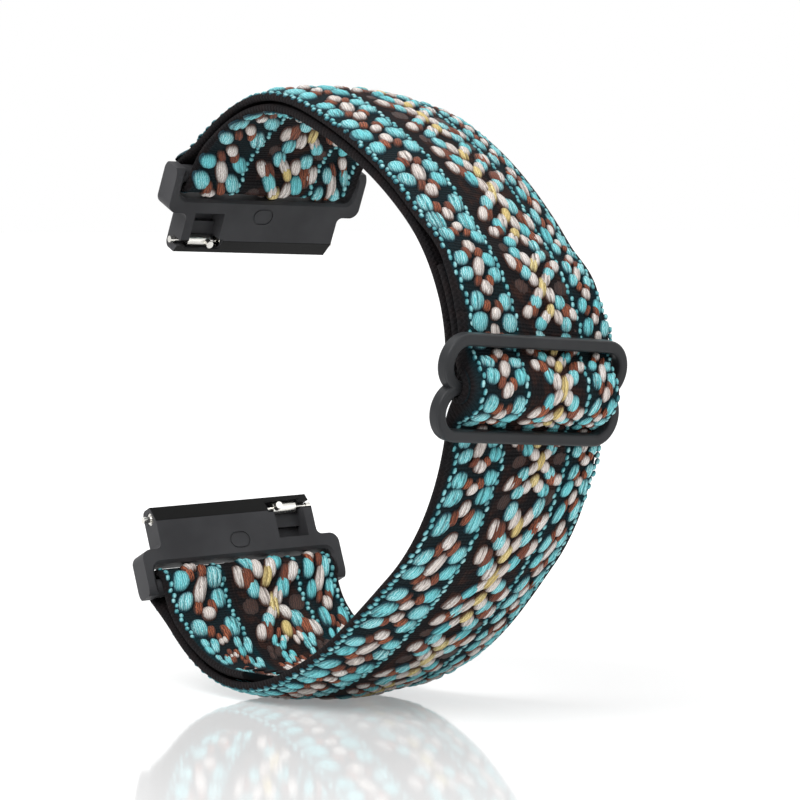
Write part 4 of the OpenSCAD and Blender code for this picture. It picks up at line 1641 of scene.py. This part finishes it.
@dataclass
class CoilSpring:
    """The coil spring in a bar's tube, in the place of the solids' plain sleeve.

    wire is the radius of its wire in metres; stroke, the travel of the tip that pushes it, is not used.
    """

    end: str
    nodes: dict[str, bpy.types.Object]
    turns: int = 22
    wire: float = 0.09 * MM
    stroke: float = 1.2 * MM
    steps: int = 18
    sides: int = 8

    def points_of(self, node: str) -> np.ndarray:
        """Points of a node's mesh, one row each."""
        mesh = self.nodes[node].data
        points = np.empty(len(mesh.vertices) * 3)
        mesh.vertices.foreach_get("co", points)
        return points.reshape(-1, 3)

    def build(self) -> bpy.types.Object:
        """Sweeps a round wire along a helix between the sleeve's ends, and ties it to its joint.

        The centre line is the sleeve's start plus its axis times the way along, plus the coil's radius times
        the cosine and sine of the turn. The wire's section is a circle spanned by the radial way and axis.

        Returns:
            The spring.
        """
        node = f"{self.end}_bar_spring"
        sleeve = self.points_of(node)
        middle = (sleeve.min(0) + sleeve.max(0)) / 2
        tip = self.points_of(f"{self.end}_sliding_tip").mean(0)
        axis = np.linalg.svd(sleeve - sleeve.mean(0), full_matrices=False)[2][0]
        axis *= np.sign((tip - middle) @ axis)
        reach = (sleeve - middle) @ axis
        start, length = middle + axis * (reach.min() + self.wire), np.ptp(reach) - 2 * self.wire
        radius = np.linalg.norm(sleeve - middle - reach[:, None] * axis, axis=1).max() - self.wire
        side = np.cross(axis, (0.0, 0.0, 1.0))
        side /= np.linalg.norm(side)
        up = np.cross(axis, side)
        t = np.linspace(0, 1, self.turns * self.steps + 1)[:, None, None]
        a = np.linspace(0, 2 * math.pi, self.sides, endpoint=False)[None, :, None]
        radial = np.cos(2 * math.pi * self.turns * t) * side + np.sin(2 * math.pi * self.turns * t) * up
        out = (radius + self.wire * np.cos(a)) * radial
        points = start + length * t * axis + out + self.wire * np.sin(a) * axis
        rows = len(t)
        piece = make_mesh(node + "_coil", points.reshape(-1, 3), grid_faces(rows, self.sides, True))
        close_ends(piece, rows, self.sides)
        piece.data.materials.append(STEEL.material())
        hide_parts(node)
        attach(piece, f"{self.end}_end")
        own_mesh(piece)
        LOG.info("%s: %d faces", piece.name, len(piece.data.polygons))
        return piece


@dataclass(frozen=True)
class Lamp:
    """A soft square lamp: its side in metres, power in watts, and azimuth and elevation in degrees."""

    name: str
    size: float
    power: float
    azimuth: float
    elevation: float


@dataclass
class Studio:
    """Pale floor, soft lights and the camera.

    middle is the place on the picture of the ring's middle, in pixels, and frame the picture's side. sky is
    the surrounding's strength as a light. glow is what the floor shows of its own white near the object, and
    what it gains over glow_range, in metres from the middle.
    """

    azimuth: float = 57.0
    elevation: float = 2.6
    distance: float = 0.5
    pixels_per_mm: float = 8.588
    middle: tuple[float, float] = (359.2, 394.5)
    frame: float = 800.0
    sensor: float = 36.0
    clip: tuple[float, float] = (0.01, 20.0)
    lamps: tuple[Lamp, ...] = (
        Lamp("key", 0.45, 3.0, 28, 46), Lamp("fill", 0.5, 0.55, 110, 15), Lamp("top", 0.6, 0.8, -60, 75))
    lamp_distance: float = 0.6
    sky: float = 0.27
    floor_side: float = 12.0
    floor_white: float = 0.85
    glow: tuple[float, float] = (0.42, 0.75)
    glow_range: tuple[float, float] = (0.06, 0.25)
    mirror: float = 0.45
    mirror_roughness: float = 0.06

    def aim(self, thing: bpy.types.Object, azimuth: float, elevation: float, distance: float) -> None:
        """Links a camera or lamp to the scene and turns it to the middle.

        Args:
            thing: The camera or lamp.
            azimuth: Azimuth that it stands at, in degrees.
            elevation: Elevation that it stands at, in degrees.
            distance: Distance from the middle in metres.
        """
        bpy.context.scene.collection.objects.link(thing)
        a, e = math.radians(azimuth), math.radians(elevation)
        back = np.array([math.sin(a) * math.cos(e), -math.cos(a) * math.cos(e), math.sin(e)])
        thing.location = tuple(back * distance)
        thing.rotation_euler = (math.pi / 2 - e, 0.0, a)

    def camera(self) -> None:
        """Sets the camera that looks at the ring's middle from the photographed side."""
        data = bpy.data.cameras.new("camera")
        data.sensor_width = self.sensor
        data.lens = self.sensor * self.pixels_per_mm * self.distance / MM / self.frame
        data.shift_x = (self.frame / 2 - self.middle[0]) / self.frame
        data.shift_y = -(self.frame / 2 - self.middle[1]) / self.frame
        data.clip_start, data.clip_end = self.clip
        camera = bpy.data.objects.new("camera", data)
        self.aim(camera, self.azimuth, self.elevation, self.distance)
        bpy.context.scene.camera = camera

    def light(self, lamp: Lamp) -> None:
        """Adds a lamp."""
        data = bpy.data.lights.new(lamp.name, "AREA")
        data.size, data.energy = lamp.size, lamp.power
        self.aim(bpy.data.objects.new(lamp.name, data), lamp.azimuth, lamp.elevation, self.lamp_distance)

    def floor(self, height: float) -> None:
        """A wide pale floor at a height, white to the camera, with a soft shadow and a weak mirror image.

        Away from the object, where the lamps don't reach, it shows more and more of its own white to the
        camera.

        Args:
            height: Height of the floor in metres.
        """
        half = self.floor_side / 2
        corners = ((-half, -half), (half, -half), (half, half), (-half, half))
        points = np.array([(x, y, height) for x, y in corners])
        floor = make_mesh("floor", points, np.array([[0, 1, 2, 3]]))
        m = bpy.data.materials.new("pale_floor")
        m.use_nodes = True
        n = Nodes(m.node_tree)
        white = (self.floor_white, self.floor_white, self.floor_white, 1)
        far = n.fill(n.add("ShaderNodeVectorMath", operation="LENGTH"),
                     {0: n.add("ShaderNodeTexCoord").outputs["Object"]})
        grow = n.plus(n.times(n.ramp(far.outputs["Value"], *self.glow_range), self.glow[1]), self.glow[0])
        own = n.fill(n.add("ShaderNodeEmission"), {"Strength": n.times(grow, self._seen(n))})
        matt = n.fill(n.add("ShaderNodeBsdfDiffuse"), {"Color": white})
        shine = n.add("ShaderNodeBsdfGlossy")
        n.fill(shine, {"Color": (1, 1, 1, 1), "Roughness": self.mirror_roughness})
        both = n.fill(n.add("ShaderNodeAddShader"), {0: matt.outputs[0], 1: own.outputs[0]})
        mixed = n.add("ShaderNodeMixShader")
        n.fill(mixed, {0: self.mirror, 1: both.outputs[0], 2: shine.outputs[0]})
        n.link(mixed.outputs[0], n.add("ShaderNodeOutputMaterial").inputs[0])
        floor.data.materials.append(m)
        floor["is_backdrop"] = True

    def _seen(self, n: Nodes) -> bpy.types.NodeSocket:
        """1 for rays that show the background itself: from the camera, a gloss or a clear piece."""
        path = n.add("ShaderNodeLightPath")
        gloss = n.math("MAXIMUM", path.outputs["Is Glossy Ray"], path.outputs["Is Transmission Ray"])
        return n.math("MAXIMUM", path.outputs["Is Camera Ray"], gloss)

    def world(self) -> None:
        """An even surrounding, white where it is seen and dimmer as a light."""
        world = bpy.data.worlds.new("studio")
        world.use_nodes = True
        n = Nodes(world.node_tree)
        strength = n.plus(n.times(self._seen(n), 1 - self.sky), self.sky)
        ground = n.fill(n.add("ShaderNodeBackground"), {"Color": (1, 1, 1, 1), "Strength": strength})
        n.link(ground.outputs[0], n.add("ShaderNodeOutputWorld").inputs[0])
        bpy.context.scene.world = world

    def build(self, floor_height: float) -> None:
        """Makes the whole studio."""
        self.camera()
        self.world()
        for lamp in self.lamps:
            self.light(lamp)
        self.floor(floor_height)
        bpy.context.scene.view_settings.view_transform = "Standard"


def main() -> None:
    """Builds every piece and the studio."""
    logging.basicConfig(level=logging.INFO, format="%(name)s %(message)s")
    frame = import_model()
    solid = [list(corner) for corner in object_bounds()]
    path = WovenPath(Ring())
    Webbing(path, Jacquard()).build()
    Hardware(frame["nodes"]).dress()
    for end in ("upper", "lower"):
        CoilSpring(end, frame["nodes"]).build()
    Studio().build(solid[0][2])


if __name__ == "__main__":
    main()
